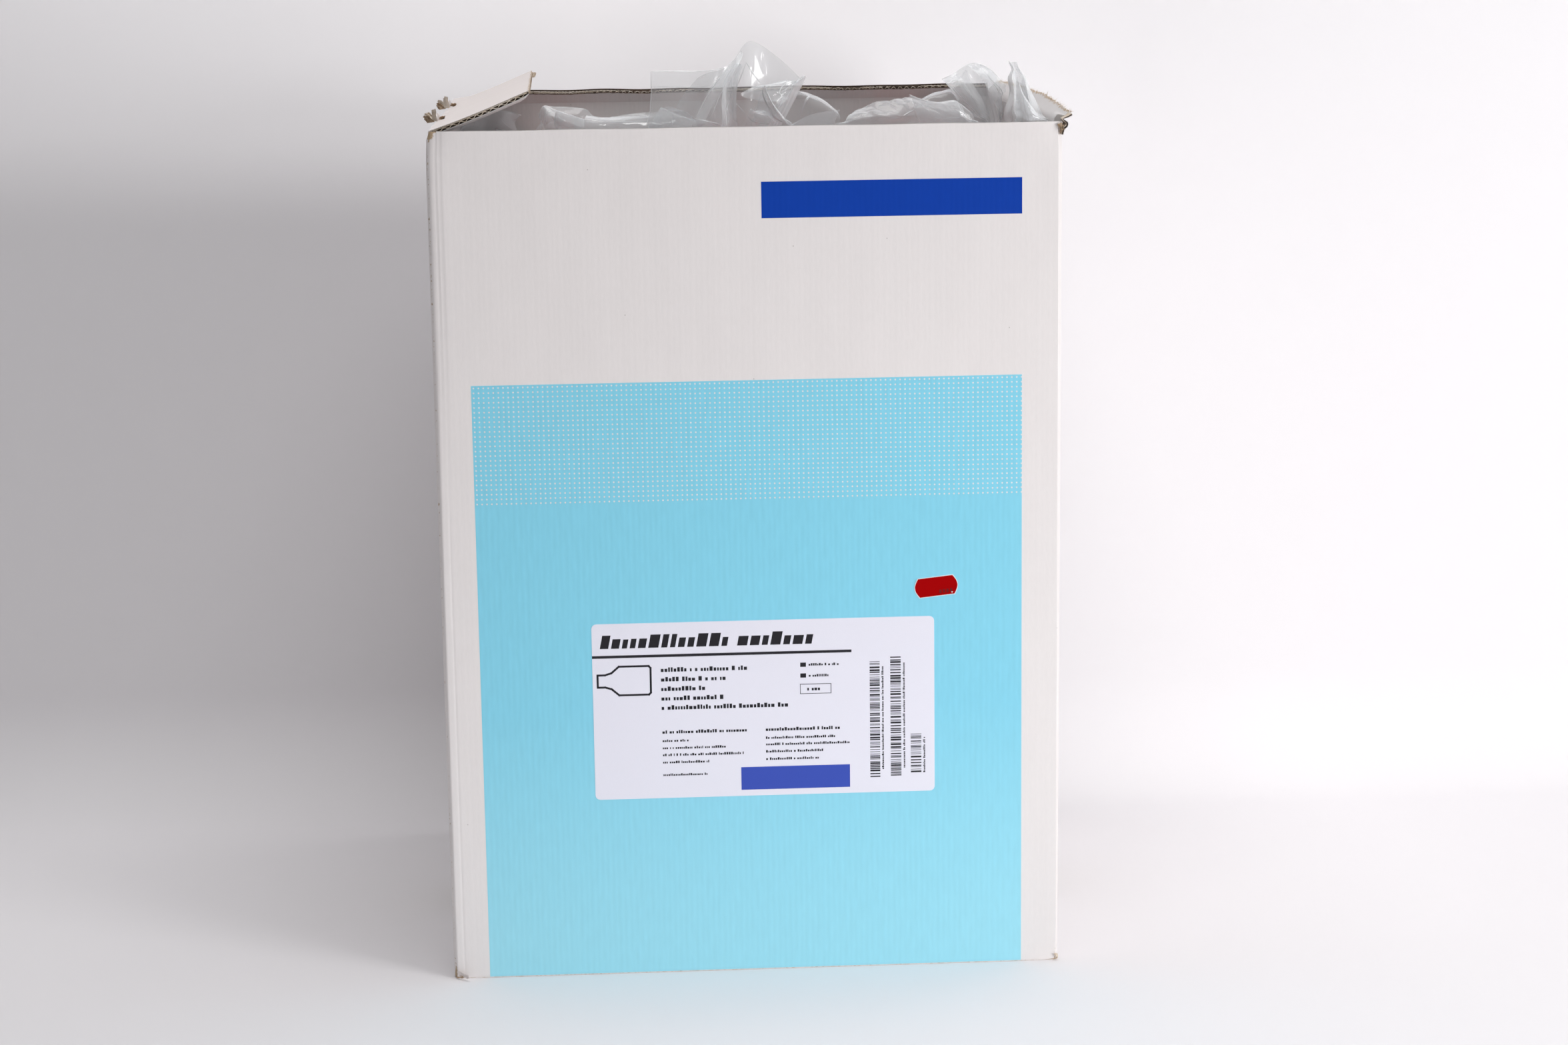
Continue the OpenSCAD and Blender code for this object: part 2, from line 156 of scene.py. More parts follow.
def curveThrough(points, count):
    # Catmull-Rom curve through control points along the first axis
    points = np.asarray(points, float)
    ends = np.concatenate([[2 * points[0] - points[1]], points, [2 * points[-1] - points[-2]]])
    s = np.linspace(0, len(points) - 1, count)
    n = np.minimum(s.astype(int), len(points) - 2)
    t = (s - n).reshape(-1, *[1] * (points.ndim - 1))
    a, b, c, d = (ends[n + k] for k in range(4))
    squared, cubed = (2 * a - 5 * b + 4 * c - d) * t ** 2, (3 * b - a - 3 * c + d) * t ** 3
    return 0.5 * (2 * b + (c - a) * t + squared + cubed)


def gridFaces(rows, columns, closeRows=False, closeColumns=False):
    # A quad joins each grid point to its next neighbours; a closed direction joins its last line to its first
    a, b = np.meshgrid(np.arange(rows - (not closeRows)), np.arange(columns - (not closeColumns)),
                       indexing="ij")
    nextA, nextB = (a + 1) % rows, (b + 1) % columns
    quads = [a * columns + b, nextA * columns + b, nextA * columns + nextB, a * columns + nextB]
    return np.stack(quads, -1).reshape(-1, 4)


def facedOutwards(part):
    # A closed part's signed volume is the sum of its fan triangles' volumes; below zero, its faces turn round
    points = part["points"]
    total = 0.0
    for faces in part["faces"]:
        first = points[faces[:, 0]]
        for n in range(1, faces.shape[1] - 1):
            total += np.einsum("ij,ij->", first, np.cross(points[faces[:, n]], points[faces[:, n + 1]]))
    if total < 0:
        part["faces"] = [faces[:, ::-1] for faces in part["faces"]]
    return part


def withPattern(part, sheet, wear):
    # Gives each point its place on the sheet and its wear, or zero where none is given
    count = len(part["points"])
    part["sheet"] = np.zeros((count, 2)) if sheet is None else sheet.reshape(-1, 2)
    part["wear"] = np.zeros(count) if wear is None else wear.reshape(-1)
    return part


def sweptSolid(rings, material, sheet=None, wear=None, closed=False):
    # rings[n, k] is point k of the closed section n; each section joins the next, and both ends are capped
    count, around = rings.shape[:2]
    faces = [gridFaces(count, around, closeRows=closed, closeColumns=True)]
    if not closed:
        cap = np.arange(around)
        faces += [cap[None, ::-1], (count - 1) * around + cap[None, :]]
    part = {"points": rings.reshape(-1, 3), "faces": faces, "material": material}
    return facedOutwards(withPattern(part, sheet, wear))


def thinSolid(top, bottom, material, sheet=None, wear=None):
    # Two grids of the same size, joined all round their borders
    rows, columns = top.shape[:2]
    count = rows * columns
    number = np.arange(count).reshape(rows, columns)
    border = np.concatenate([number[:-1, 0], number[-1, :-1], number[:0:-1, -1], number[0, :0:-1]])
    following = np.roll(border, -1)
    sides = np.stack([border, following, following + count, border + count], -1)
    faces = [gridFaces(rows, columns), gridFaces(rows, columns)[:, ::-1] + count, sides[:, ::-1]]
    part = {"points": np.concatenate([top.reshape(-1, 3), bottom.reshape(-1, 3)]), "faces": faces,
            "material": material}
    if sheet is not None:
        sheet = np.concatenate([sheet.reshape(-1, 2)] * 2)
    if wear is not None:
        wear = np.concatenate([np.broadcast_to(wear, (rows, columns)).reshape(-1)] * 2)
    return facedOutwards(withPattern(part, sheet, wear))


def makePiece(name, body, parts, replaced=(), sharp=38):
    # Joins the parts into one mesh. Their patterns go into the UV map "sheet" (mm) and the attribute "wear"
    starts = np.cumsum([0] + [len(part["points"]) for part in parts])
    points = np.concatenate([part["points"] for part in parts])
    materials = list(dict.fromkeys(part["material"] for part in parts))
    corners, sizes, slots = [], [], []
    for start, part in zip(starts, parts):
        for faces in part["faces"]:
            corners.append((faces + start).reshape(-1))
            sizes.append(np.full(len(faces), faces.shape[1]))
            slots.append(np.full(len(faces), materials.index(part["material"])))
    corners, sizes, slots = map(np.concatenate, (corners, sizes, slots))
    mesh = bpy.data.meshes.new(name)
    mesh.vertices.add(len(points))
    mesh.vertices.foreach_set("co", (points * mm).astype(np.float32).ravel())
    mesh.loops.add(len(corners))
    mesh.loops.foreach_set("vertex_index", corners.astype(np.int32))
    mesh.polygons.add(len(sizes))
    mesh.polygons.foreach_set("loop_start", (np.cumsum(sizes) - sizes).astype(np.int32))
    mesh.polygons.foreach_set("loop_total", sizes.astype(np.int32))
    mesh.polygons.foreach_set("material_index", slots.astype(np.int32))
    mesh.polygons.foreach_set("use_smooth", np.ones(len(sizes), bool))
    for material in materials:
        mesh.materials.append(material)
    mesh.update(calc_edges=True)
    sheet = np.concatenate([part["sheet"] for part in parts])
    mesh.uv_layers.new(name="sheet").data.foreach_set("uv", sheet[corners].astype(np.float32).ravel())
    wear = np.concatenate([part["wear"] for part in parts])
    mesh.attributes.new("wear", "FLOAT", "POINT").data.foreach_set("value", wear.astype(np.float32))
    mesh.set_sharp_from_angle(angle=math.radians(sharp))
    piece = bpy.data.objects.new(name, mesh)
    bpy.context.scene.collection.objects.link(piece)
    if body:
        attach(piece, body)
    if replaced:
        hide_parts(*replaced)
    return piece


board = {
    "white": "#e8e3e2",       # bleached outer liner, calendered
    "inside": "#cfcccb",      # the same board's inner liner, a little greyer
    "kraft": "#b39a7e",       # unbleached fluting
    "torn": "#b39c80",        # fibres where a liner is torn or rubbed through
    "washboard": 0.05,        # mm, height of the flutes that telegraph through the liner
    "mottle": 0.02,
    "scrapWear": 0.38,        # how rubbed a torn scrap of liner is
}


def boardMaterial(name, colour, depth, wearColour=board["torn"]):
    # Clay-coated paper liner on fluting: matt, faintly ridged along the flutes, mottled, specked and rubbed
    material, add = newMaterial(name)
    place = add("UVMap", uv_map="sheet")
    axes = add("SeparateXYZ", {0: place})
    drift = add("TexNoise", {"Vector": place, "Scale": 0.02, "Detail": 1.0})
    across = add("Math", {0: axes.outputs["X"], 1: drift}, operation="ADD")
    ridges = []
    for pitch in (carton["coarsePitch"], carton["finePitch"]):
        turn = add("Math", {0: across, 1: 2 * math.pi / pitch}, operation="MULTIPLY")
        ridges.append(add("Math", {0: turn}, operation="SINE"))
    relief = add("Math", {0: ridges[0], 1: ridges[1]}, operation="ADD")
    # Fibres lie along the flutes, so their noise is stretched that way
    stretched = add("Mapping", {"Vector": place, "Scale": (1.0, 0.22, 1.0)})
    fibres = add("TexNoise", {"Vector": stretched, "Scale": 0.8, "Detail": 5.0, "Roughness": 0.6})
    mottle = add("TexNoise", {"Vector": stretched, "Scale": 0.055, "Detail": 3.0})
    height = add("Math", {0: relief, 1: 0.13, 2: fibres}, operation="MULTIPLY_ADD")
    bump = add("Bump", {"Height": height, "Distance": depth * mm, "Strength": 0.7})
    blotch = add("Math", {0: mottle, 1: fibres}, operation="ADD")
    shade = add("MapRange", {"Value": blotch, 1: 0.7, 2: 1.3, 3: 1 - board["mottle"],
                             4: 1 + board["mottle"]})
    # The colour also follows the flute relief faintly, lighter on the ridges and darker between them: painted
    # shade of the flutes, on top of the random mottle
    streak = add("Math", {0: relief, 1: 0.0022, 2: shade}, operation="MULTIPLY_ADD")
    paper = add("Mix", {"Factor": 1.0, 6: hexToLinear(colour), 7: streak}, data_type="RGBA",
                blend_type="MULTIPLY")
    cells = add("TexVoronoi", {"Vector": place, "Scale": 0.012}, voronoi_dimensions="2D")
    speck = add("MapRange", {"Value": cells.outputs["Distance"], 1: 0.0045, 2: 0.003, 3: 0.0, 4: 0.5})
    dirty = add("Mix", {"Factor": speck, 6: paper, 7: hexToLinear("#7d7468")}, data_type="RGBA")
    # Where "wear" is high the liner is rubbed through in ragged patches
    rubbed = add("Attribute", attribute_name="wear")
    grain = add("TexNoise", {"Vector": place, "Scale": 0.45, "Detail": 6.0, "Roughness": 0.7})
    ragged = add("Math", {0: rubbed.outputs["Fac"], 1: grain}, operation="ADD")
    worn = add("MapRange", {"Value": ragged, 1: 0.98, 2: 1.06})
    finish = add("Mix", {"Factor": worn, 6: dirty, 7: hexToLinear(wearColour)}, data_type="RGBA")
    rough = add("MapRange", {"Value": fibres, 1: 0.3, 2: 0.7, 3: 0.52, 4: 0.66})
    shader = add("BsdfPrincipled", {"Base Color": finish, "Roughness": rough, "Normal": bump, "IOR": 1.45})
    add("OutputMaterial", {"Surface": shader})
    return material


def kraftMaterial(name, colour, darker):
    # Unbleached machine-made fluting paper: brown, fibrous and quite matt
    material, add = newMaterial(name)
    place = add("TexCoord")
    fibres = add("TexNoise", {"Vector": place.outputs["Object"], "Scale": 900.0, "Detail": 4.0})
    patch = add("TexNoise", {"Vector": place.outputs["Object"], "Scale": 60.0, "Detail": 2.0})
    both = add("Math", {0: fibres, 1: patch}, operation="ADD")
    share = add("MapRange", {"Value": both, 1: 0.75, 2: 1.25})
    tint = add("Mix", {"Factor": share, 6: hexToLinear(darker), 7: hexToLinear(colour)}, data_type="RGBA")
    bump = add("Bump", {"Height": fibres, "Distance": 0.1 * mm, "Strength": 0.8})
    shader = add("BsdfPrincipled", {"Base Color": tint, "Roughness": 0.85, "Normal": bump})
    add("OutputMaterial", {"Surface": shader})
    return material


printing = {
    "lightBlue": "#89d5ec",
    "floorSheenBlue": "#a6e4f3",    # the field's foot, paler as painted sheen of the bright floor
    "floorSheenFade": (-320.0, -125.0),   # mm, over which the tone changes
    "deepBlue": "#0b3ea5",
    "dotPitch": 2.85,     # mm
    "dotRadius": 0.47,    # mm
    "lift": 0.04,         # mm, of the ink off the board
}


def inkMaterial(name, colour, shine, dots=False):
    # Water-based flexo ink on coated liner: even, slightly satin, and the board's ridges show through it
    material, add = newMaterial(name)
    place = add("UVMap", uv_map="sheet")
    axes = add("SeparateXYZ", {0: place})
    turn = add("Math", {0: axes.outputs["X"], 1: 2 * math.pi / carton["finePitch"]}, operation="MULTIPLY")
    ridge = add("Math", {0: turn}, operation="SINE")
    stretched = add("Mapping", {"Vector": place, "Scale": (1.0, 0.2, 1.0)})
    mottle = add("TexNoise", {"Vector": stretched, "Scale": 0.35, "Detail": 5.0})
    shade = add("MapRange", {"Value": mottle, 1: 0.3, 2: 0.7, 3: 0.98, 4: 1.02})
    streak = add("Math", {0: ridge, 1: 0.004, 2: shade}, operation="MULTIPLY_ADD")
    # Towards its foot the light field pales: painted sheen of the bright floor, not a change in the ink
    low, high = printing["floorSheenFade"]
    full = add("MapRange", {"Value": axes.outputs["Y"], 1: low, 2: high})
    foot = printing["floorSheenBlue"] if dots else colour
    tone = add("Mix", {"Factor": full, 6: hexToLinear(foot), 7: hexToLinear(colour)}, data_type="RGBA")
    ink = add("Mix", {"Factor": 1.0, 6: tone, 7: streak}, data_type="RGBA", blend_type="MULTIPLY")
    result = ink
    if dots:
        # Round dots on a square grid: the distance from each cell's middle, wherever the sheet's Y is above 0
        cells = []
        for axis in ("X", "Y"):
            scaled = add("Math", {0: axes.outputs[axis], 1: printing["dotPitch"]}, operation="DIVIDE")
            part = add("Math", {0: scaled}, operation="FRACT")
            cells.append(add("Math", {0: part, 1: 0.5}, operation="SUBTRACT"))
        offset = add("CombineXYZ", {0: cells[0], 1: cells[1]})
        distance = add("VectorMath", {0: offset}, operation="LENGTH")
        reach = printing["dotRadius"] / printing["dotPitch"]
        dot = add("MapRange", {"Value": distance.outputs["Value"], 1: reach + 0.02, 2: reach - 0.02})
        band = add("Math", {0: axes.outputs["Y"], 1: 0.0}, operation="GREATER_THAN")
        shown = add("Math", {0: dot, 1: band}, operation="MULTIPLY")
        result = add("Mix", {"Factor": shown, 6: result, 7: hexToLinear(board["white"])}, data_type="RGBA")
    height = add("Math", {0: ridge, 1: 0.2, 2: mottle}, operation="MULTIPLY_ADD")
    bump = add("Bump", {"Height": height, "Distance": board["washboard"] * mm})
    shader = add("BsdfPrincipled", {"Base Color": result, "Roughness": 0.45, "Normal": bump,
                                    "Specular IOR Level": shine})
    add("OutputMaterial", {"Surface": shader})
    return material


def plainMaterial(name, colour, roughness, grain=0.02, shine=0.5, grainScale=2500.0):
    # Even coloured paper or moulded polymer with a little fine grain in its colour and surface
    material, add = newMaterial(name)
    place = add("TexCoord")
    noise = add("TexNoise", {"Vector": place.outputs["Object"], "Scale": grainScale, "Detail": 3.0})
    shade = add("MapRange", {"Value": noise, 1: 0.3, 2: 0.7, 3: 1 - grain, 4: 1 + grain})
    tint = add("Mix", {"Factor": 1.0, 6: hexToLinear(colour), 7: shade}, data_type="RGBA",
               blend_type="MULTIPLY")
    bump = add("Bump", {"Height": noise, "Distance": 0.02 * mm})
    shader = add("BsdfPrincipled", {"Base Color": tint, "Roughness": roughness, "Normal": bump,
                                    "Specular IOR Level": shine})
    add("OutputMaterial", {"Surface": shader})
    return material


film = {
    "haze": "#f2f4f6",
    "roughness": 0.12,
    "crease": 0.9,         # mm, relief of the fine creases
}


def filmMaterial(name, clearFace, clearEdge, mirror=0.03):
    # Blown low-density polyethylene film: clear with a bluish haze, glossy and softly buckled. One layer
    # hides clearFace of what is behind it, seen square on, and clearEdge seen along its surface
    material, add = newMaterial(name)
    place = add("TexCoord")
    # Gathered film buckles in upright ripples
    upright = add("Mapping", {"Vector": place.outputs["Object"], "Scale": (1.0, 1.0, 0.4)})
    soft = add("TexNoise", {"Vector": upright, "Scale": 95.0, "Detail": 1.0})
    fine = add("TexNoise", {"Vector": upright, "Scale": 280.0, "Detail": 2.0})
    height = add("Math", {0: fine, 1: 0.2, 2: soft}, operation="MULTIPLY_ADD")
    bump = add("Bump", {"Height": height, "Distance": film["crease"] * mm})
    facing = add("LayerWeight", {"Blend": 0.5, "Normal": bump})
    cover = add("MapRange", {"Value": facing.outputs["Facing"], 1: 0.3, 2: 1.0, 3: clearFace, 4: clearEdge})
    # What the film mirrors grows with the fourth power of the slant, from `mirror` square on
    slant = add("Math", {0: facing.outputs["Facing"], 1: 4.0}, operation="POWER")
    sheen = add("Math", {0: slant, 1: 0.5, 2: mirror}, operation="MULTIPLY_ADD")
    tint = add("BsdfDiffuse", {"Color": hexToLinear(film["haze"]), "Normal": bump})
    through = add("BsdfTranslucent", {"Color": hexToLinear(film["haze"]), "Normal": bump})
    haze = add("MixShader", {0: 0.15, 1: tint, 2: through})
    clear = add("BsdfTransparent", {"Color": (0.985, 0.99, 0.99, 1.0)})
    body = add("MixShader", {0: cover, 1: clear, 2: haze})
    gloss = add("BsdfGlossy", {"Roughness": film["roughness"], "Normal": bump})
    surface = add("MixShader", {0: sheen, 1: body, 2: gloss})
    add("OutputMaterial", {"Surface": surface})
    return material


whiteBoard = boardMaterial("white lined board", board["white"], board["washboard"])
# A darker, warmer copy of the white board for the flap and some scraps, so that the flap's well-lit top reads
# as dim as the front: painted shade
shadedWhiteBoard = boardMaterial("white lined board, darkened as painted shade", "#e1d9d6", board["washboard"])
insideBoard = boardMaterial("inner liner", board["inside"], 2 * board["washboard"])
kraft = kraftMaterial("kraft fluting", board["kraft"], "#8d7660")
# A darker copy of the kraft for the flutes' depths, gaps and recesses: painted shade
kraftPaintedShade = kraftMaterial("kraft darkened as painted shade", "#5b4a3b", "#3d3128")
tornKraft = kraftMaterial("torn kraft fibres", "#b7a086", "#6f5b46")
linerEdge = kraftMaterial("liner edge", "#e2d8cc", "#c3b19a")
lightInk = inkMaterial("light blue ink", printing["lightBlue"], 0.18, dots=True)
deepInk = inkMaterial("deep blue ink", printing["deepBlue"], 0.12)
labelPaper = plainMaterial("label paper", "#e8e7f2", 0.42, grain=0.012)
blackInk = plainMaterial("thermal print", "#1c1a20", 0.55, shine=0.2)
labelBlue = plainMaterial("label blue ink", "#3c52b4", 0.5, shine=0.15)
stickerRed = plainMaterial("fluorescent red sticker", "#a30406", 0.45, shine=0.02)
stickerEdge = plainMaterial("sticker paper edge", "#eef2f6", 0.55)
stickerInk = plainMaterial("sticker print", "#6d0b0f", 0.55, shine=0.15)
print("materials made")


folds = {
    # the front left fold as (in, back) in mm, from the left wall round to the front: crushed at the top and
    # sharper lower down
    "crushed": [(0, 3.4), (0.06, 2.4), (0.25, 1.5), (0.6, 0.95), (1.2, 0.62), (2.1, 0.42), (3.1, 0.3),
                (3.9, 0.38), (4.3, 0.18), (5.2, 0.1), (6.5, 0.2), (7.0, 0.02), (8.4, 0)],
    "sharp": [(0, 3.4), (0.02, 2.2), (0.08, 1.2), (0.2, 0.6), (0.45, 0.25), (0.9, 0.1), (1.8, 0.03),
              (3.4, 0), (4.6, 0), (5.0, 0.1), (5.3, 0), (6.5, 0), (8.4, 0)],
    # the front right fold, a sharp crease, with the right wall flaring out just behind it
    "crease": [(1.2, 0), (0.4, 0), (0.1, 0.02), (0.02, 0.1), (0, 0.3), (0, 0.8), (0, 1.5), (0, 2.4),
               (0, 3.4)],
    "flare": 2.3,
    "bulge": 1.6,    # mm, how far the left wall rounds out behind its front fold
    "crushedAbove": (230, 430),
    "turnStations": 9,
    "sideStations": (48, 38),
}


def stationShares(count, ends):
    # Shares of a side's length between 0 and 1, with two more close to each end
    return np.concatenate([[ends, 3 * ends], np.linspace(6 * ends, 1 - 6 * ends, count),
                           [1 - 3 * ends, 1 - ends]])


def planLoop(depthIn, leftFold):
    # Points round the carton at depthIn under its outer face: straight sides joined by quarter turns, of
    # which the two front ones follow their folds' own paths
    radius = max(carton["foldRadius"] - depthIn, 0.5)
    w, d = carton["halfWidth"] - depthIn, carton["halfDepth"] - depthIn
    fold = np.array(leftFold) * (1 - 0.08 * depthIn)
    angle = np.linspace(0, math.pi / 2, folds["turnStations"])
    corners = [(-1, -1), (1, -1), (1, 1), (-1, 1)]
    points = []
    for n, (sx, sy) in enumerate(corners):
        start = math.pi + n * math.pi / 2 + angle
        x, y = sx * (w - radius) + radius * np.cos(start), sy * (d - radius) + radius * np.sin(start)
        arc = np.stack([x, y], -1)
        if n == 0:
            arc = fold - (w, d)
        if n == 1:
            arc = (w, -d) + np.array(folds["crease"]) * (-1, 1)
        nx, ny = corners[(n + 1) % 4]
        towards = [(nx * (w - radius), sy * d), (sx * w, ny * (d - radius))][n % 2]
        if n == 0:
            towards = (w - folds["crease"][0][0], -d)
        if n == 3:
            towards = (-w, fold[0, 1] - d)
        shares = stationShares(folds["sideStations"][n % 2], 0.004)[:, None]
        points += [arc, arc[-1] + (np.array(towards) - arc[-1]) * shares]
    return np.concatenate(points)


frontWave = randomWaves(3, 90)
frontSwell = randomWaves(4, 260)
sideSwell = randomWaves(6, 220)


def frontOffset(x, z):
    # How far the front face stands out, in mm: a low bow, long swells and short ripples
    rise = np.sin(np.pi * np.clip(z / carton["rim"], 0, 1))
    return carton["frontBow"] * rise * (0.5 + 0.5 * frontSwell(x, z)) + 0.05 * rise * frontWave(x, z)


def sideOffset(along, z, span):
    # The other walls swell in the middle, none at the base or the corners
    rise = np.sin(np.pi * np.clip(z / carton["rim"], 0, 1)) ** 2
    return carton["wallBow"] * rise * np.cos(0.5 * np.pi * along / span) * (0.8 + 0.3 * sideSwell(along, z))


def leftBulge(y, z):
    # How far the left wall rounds out behind the front fold, less towards the crease of its flap
    front = -carton["halfDepth"]
    fade = smooth(front + 60, front + 4, y) * smooth(carton["rim"] + 1, carton["rim"] - 5, z)
    return folds["bulge"] * smooth(front, front + 3.2, y) * fade


def rightFlare(y, z=carton["rim"]):
    # How far the right wall stands out just behind the front fold, most at the rim, fading out over 90 mm
    front = -carton["halfDepth"]
    behind = smooth(front + 0.1, front + 2.6, y) * smooth(front + 90, front + 3, y) ** 2
    return folds["flare"] * (0.6 + 0.4 * z / carton["rim"]) * behind


def wallPoint(x, y, z):
    # Moves a point of the plan outwards by the swell of the wall it lies on
    w, d = carton["halfWidth"], carton["halfDepth"]
    front = smooth(-d + 5, -d + 4.6, y)
    rear = smooth(d - 5, d - 4.6, y)
    side = (1 - front) * (1 - rear) * np.sign(x)
    outX = side * sideOffset(y, z, d) + (x > w - 10) * rightFlare(y, z) - (x < 10 - w) * leftBulge(y, z)
    outY = rear * sideOffset(x, z, w) - front * frontOffset(x, z)
    return np.stack([x + outX, y + outY, z + 0 * x], -1)


def bottomTuck(z):
    # How far the outer face is drawn in near the floor, where the bottom fold is a quarter round
    radius = carton["bottomRadius"]
    return radius - np.sqrt(np.clip(radius ** 2 - np.clip(radius - z, 0, radius) ** 2, 0, None))


dents = [  # middle (mm), reach and depth of each knocked corner
    ((-carton["halfWidth"] + 1, -carton["halfDepth"], carton["rim"] - 3), 9, 1.3),
    ((-carton["halfWidth"], -carton["halfDepth"], 2), 8, 0.5),
    ((carton["halfWidth"], -carton["halfDepth"], 3), 7, 0.5),
    ((carton["halfWidth"], -carton["halfDepth"], carton["rim"] - 5), 6, 0.8),
]


wallSection = {  # mm
    "foot": [0.03, 0.2, 0.5, 0.9, 1.3, 1.6, 2.6, 5],
    "middle": (12, 488),
    "top": [494, 498, 501],
    "spreadFrom": 400,     # above this the levels are spread out to meet the top edge
    "frontGroove": 9.0,    # how far the core lies under the front's top edge,
    "groove": 0.8,         # and under the others
    "leftDrop": 0.3,       # the left wall ends this far under the flap's board
}
wallWearAndShade = {  # how far each place is rubbed: near 1 the kraft shows; 'bottom' also darkens the foot as painted shade of the floor contact
    "topLeft": 0.85, "leftFold": 0.52, "rightFold": 0.34, "bottomLeft": 0.5, "bottomRight": 0.3, "rim": 0.22,
    "bottom": 0.5,
}


def makeWalls():
    # A section that runs up the outer face, over the open top edge with its recessed core and down the inner
    # face is carried round the plan
    rim, thick = carton["rim"], carton["board"]
    w, d = carton["halfWidth"], carton["halfDepth"]
    loops = {key: (planLoop(0.0, folds[key]), planLoop(thick, folds[key])) for key in ("crushed", "sharp")}
    outline = loops["sharp"][0]
    along = np.concatenate([[0], np.cumsum(np.hypot(*np.diff(outline, axis=0).T))])
    onFront = outline[:, 1] < -d + 0.6
    onLeft = (outline[:, 0] < -w + 0.02) & (outline[:, 1] > -d + 3.3) & (outline[:, 1] < d - 3.3)
    top = np.where(onLeft, rim - thick - wallSection["leftDrop"], rim) + 0.12 * np.sin(along / 11) * onFront
    groove = np.where(onFront, wallSection["frontGroove"], wallSection["groove"])
    levels = np.concatenate([wallSection["foot"], np.linspace(*wallSection["middle"], 46),
                             wallSection["top"]])
    spreadFrom = wallSection["spreadFrom"]
    lift = np.clip((levels - spreadFrom) / (levels[-1] - spreadFrom), 0, 1)
    rows = [(0.0, level + part * (top - 1.0 - levels[-1])) for level, part in zip(levels, lift)]
    rows += [(0.06, top - 0.25), (0.14, top), (carton["liner"], top), (carton["liner"] + 0.02, top - groove)]
    rows += [(innerLiner - 0.02, top - groove), (innerLiner, top), (thick, top)]
    rows += [(thick, level + 0 * top) for level in np.linspace(496, 12, 14)] + [(thick, 0.03 + 0 * top)]
    depthIn = np.array([depth for depth, _ in rows])[None, :, None]
    z = np.stack([level for _, level in rows], 1)
    crushed = smooth(*folds["crushedAbove"], z)[..., None]
    plans = [loops["crushed"][k][:, None] * crushed + loops["sharp"][k][:, None] * (1 - crushed)
             for k in (0, 1)]
    plan = plans[0] * (1 - depthIn / thick) + plans[1] * depthIn / thick
    plan = plan * (1 - bottomTuck(z) * (depthIn[..., 0] < 1) / w)[..., None]
    points = wallPoint(plan[..., 0], plan[..., 1], z)
    for middle, reach, deep in dents:
        push = deep * np.exp(-(np.linalg.norm(points - np.array(middle), axis=-1) / reach) ** 2)
        points[..., 1] += push
        points[..., 0] -= 0.6 * push * np.sign(middle[0])
    sheet = np.stack([along[:, None] + 0 * z, z], -1)
    fromLeft = np.hypot(points[..., 0] + w, points[..., 1] + d)
    fromRight = np.hypot(points[..., 0] - w, points[..., 1] + d)
    wear = wallWearAndShade["topLeft"] * np.exp(-(fromLeft / 5.0) ** 2) * smooth(rim - 7, rim - 3, z)
    wear += wallWearAndShade["rightFold"] * np.exp(-(fromRight / 2.6) ** 2) * (0.8 + 0.2 * np.sin(z / 9))
    left = wallWearAndShade["bottomLeft"] * np.exp(-((fromLeft / 6) ** 2 + (z / 6) ** 2))
    right = wallWearAndShade["bottomRight"] * np.exp(-((fromRight / 4) ** 2 + (z / 5) ** 2))
    wear += left + right
    fromFold = np.hypot(points[..., 0] + w + 0.6, points[..., 1] + d - 1.8)
    wear += wallWearAndShade["leftFold"] * np.exp(-(fromFold / 1.3) ** 2)
    # Along the foot the torn colour stands partly for real wear and partly for the dark contact line at the
    # floor: painted shade
    wear += wallWearAndShade["rim"] * smooth(rim - 1.2, rim - 0.1, z) + wallWearAndShade["bottom"] * smooth(1.1, 0.5, z)
    return splitByFace(points, sheet, wear, len(levels) + 3)


def splitByFace(points, sheet, wear, outerRows):
    # The section's faces go to the outer or the inner liner by their row
    stations, around = points.shape[:2]
    tube = {"points": points.reshape(-1, 3), "faces": [gridFaces(stations, around, True, True)],
            "material": whiteBoard}
    tube = facedOutwards(withPattern(tube, sheet, wear))
    faces = tube["faces"][0]
    row = faces % around
    outer = (row.max(1) < outerRows) | ((row.max(1) == around - 1) & (row.min(1) == 0))
    return dict(tube, faces=[faces[outer]]), dict(tube, faces=[faces[~outer]], material=insideBoard)


outerSkin, innerSkin = makeWalls()


def edgeBar(place, a, section, material):
    # A bar whose section of (out, thickness) points is carried along the edge
    return sweptSolid(np.stack([place(a, o + 0 * a, t + 0 * a) for o, t in section], 1), material)


def fluting(place, start, end, depthFrom, depthTo, low, high, pitch, lipMaterial, seed=0, rough=0.0,
            half=0.13):
    # One corrugated medium as a thin ribbon, which swings from low to high in the board along the edge
    random = np.random.default_rng(seed)
    count = int((end - start) / pitch * 10)
    a = np.linspace(start, end, count)
    knots = np.arange(start, end, 17)
    slip = rough * 3 * np.interp(a, knots, random.uniform(-1, 1, len(knots)))
    swing = np.tanh(1.5 * np.sin(2 * math.pi * a / pitch + slip)) / math.tanh(1.5)
    lip = 0.3
    crush = 1 - rough * random.uniform(0, 1, count) ** 3
    t = (low + high) / 2 + swing * crush * ((high - low) / 2 - half)
    edge = depthTo - rough * np.abs(random.normal(0, 0.9, count))
    # The paper deep in the flutes is dark kraft, painted shade; the cut edge is paler
    made = []
    stretches = [(depthFrom, edge - lip, half, kraftPaintedShade), (edge - lip, edge, 1.2 * half, lipMaterial)]
    for first, last, out, material in stretches:
        made.append(edgeBar(place, a, [(first, t - out), (last, t - out), (last, t + out), (first, t + out)],
                            material))
    return made


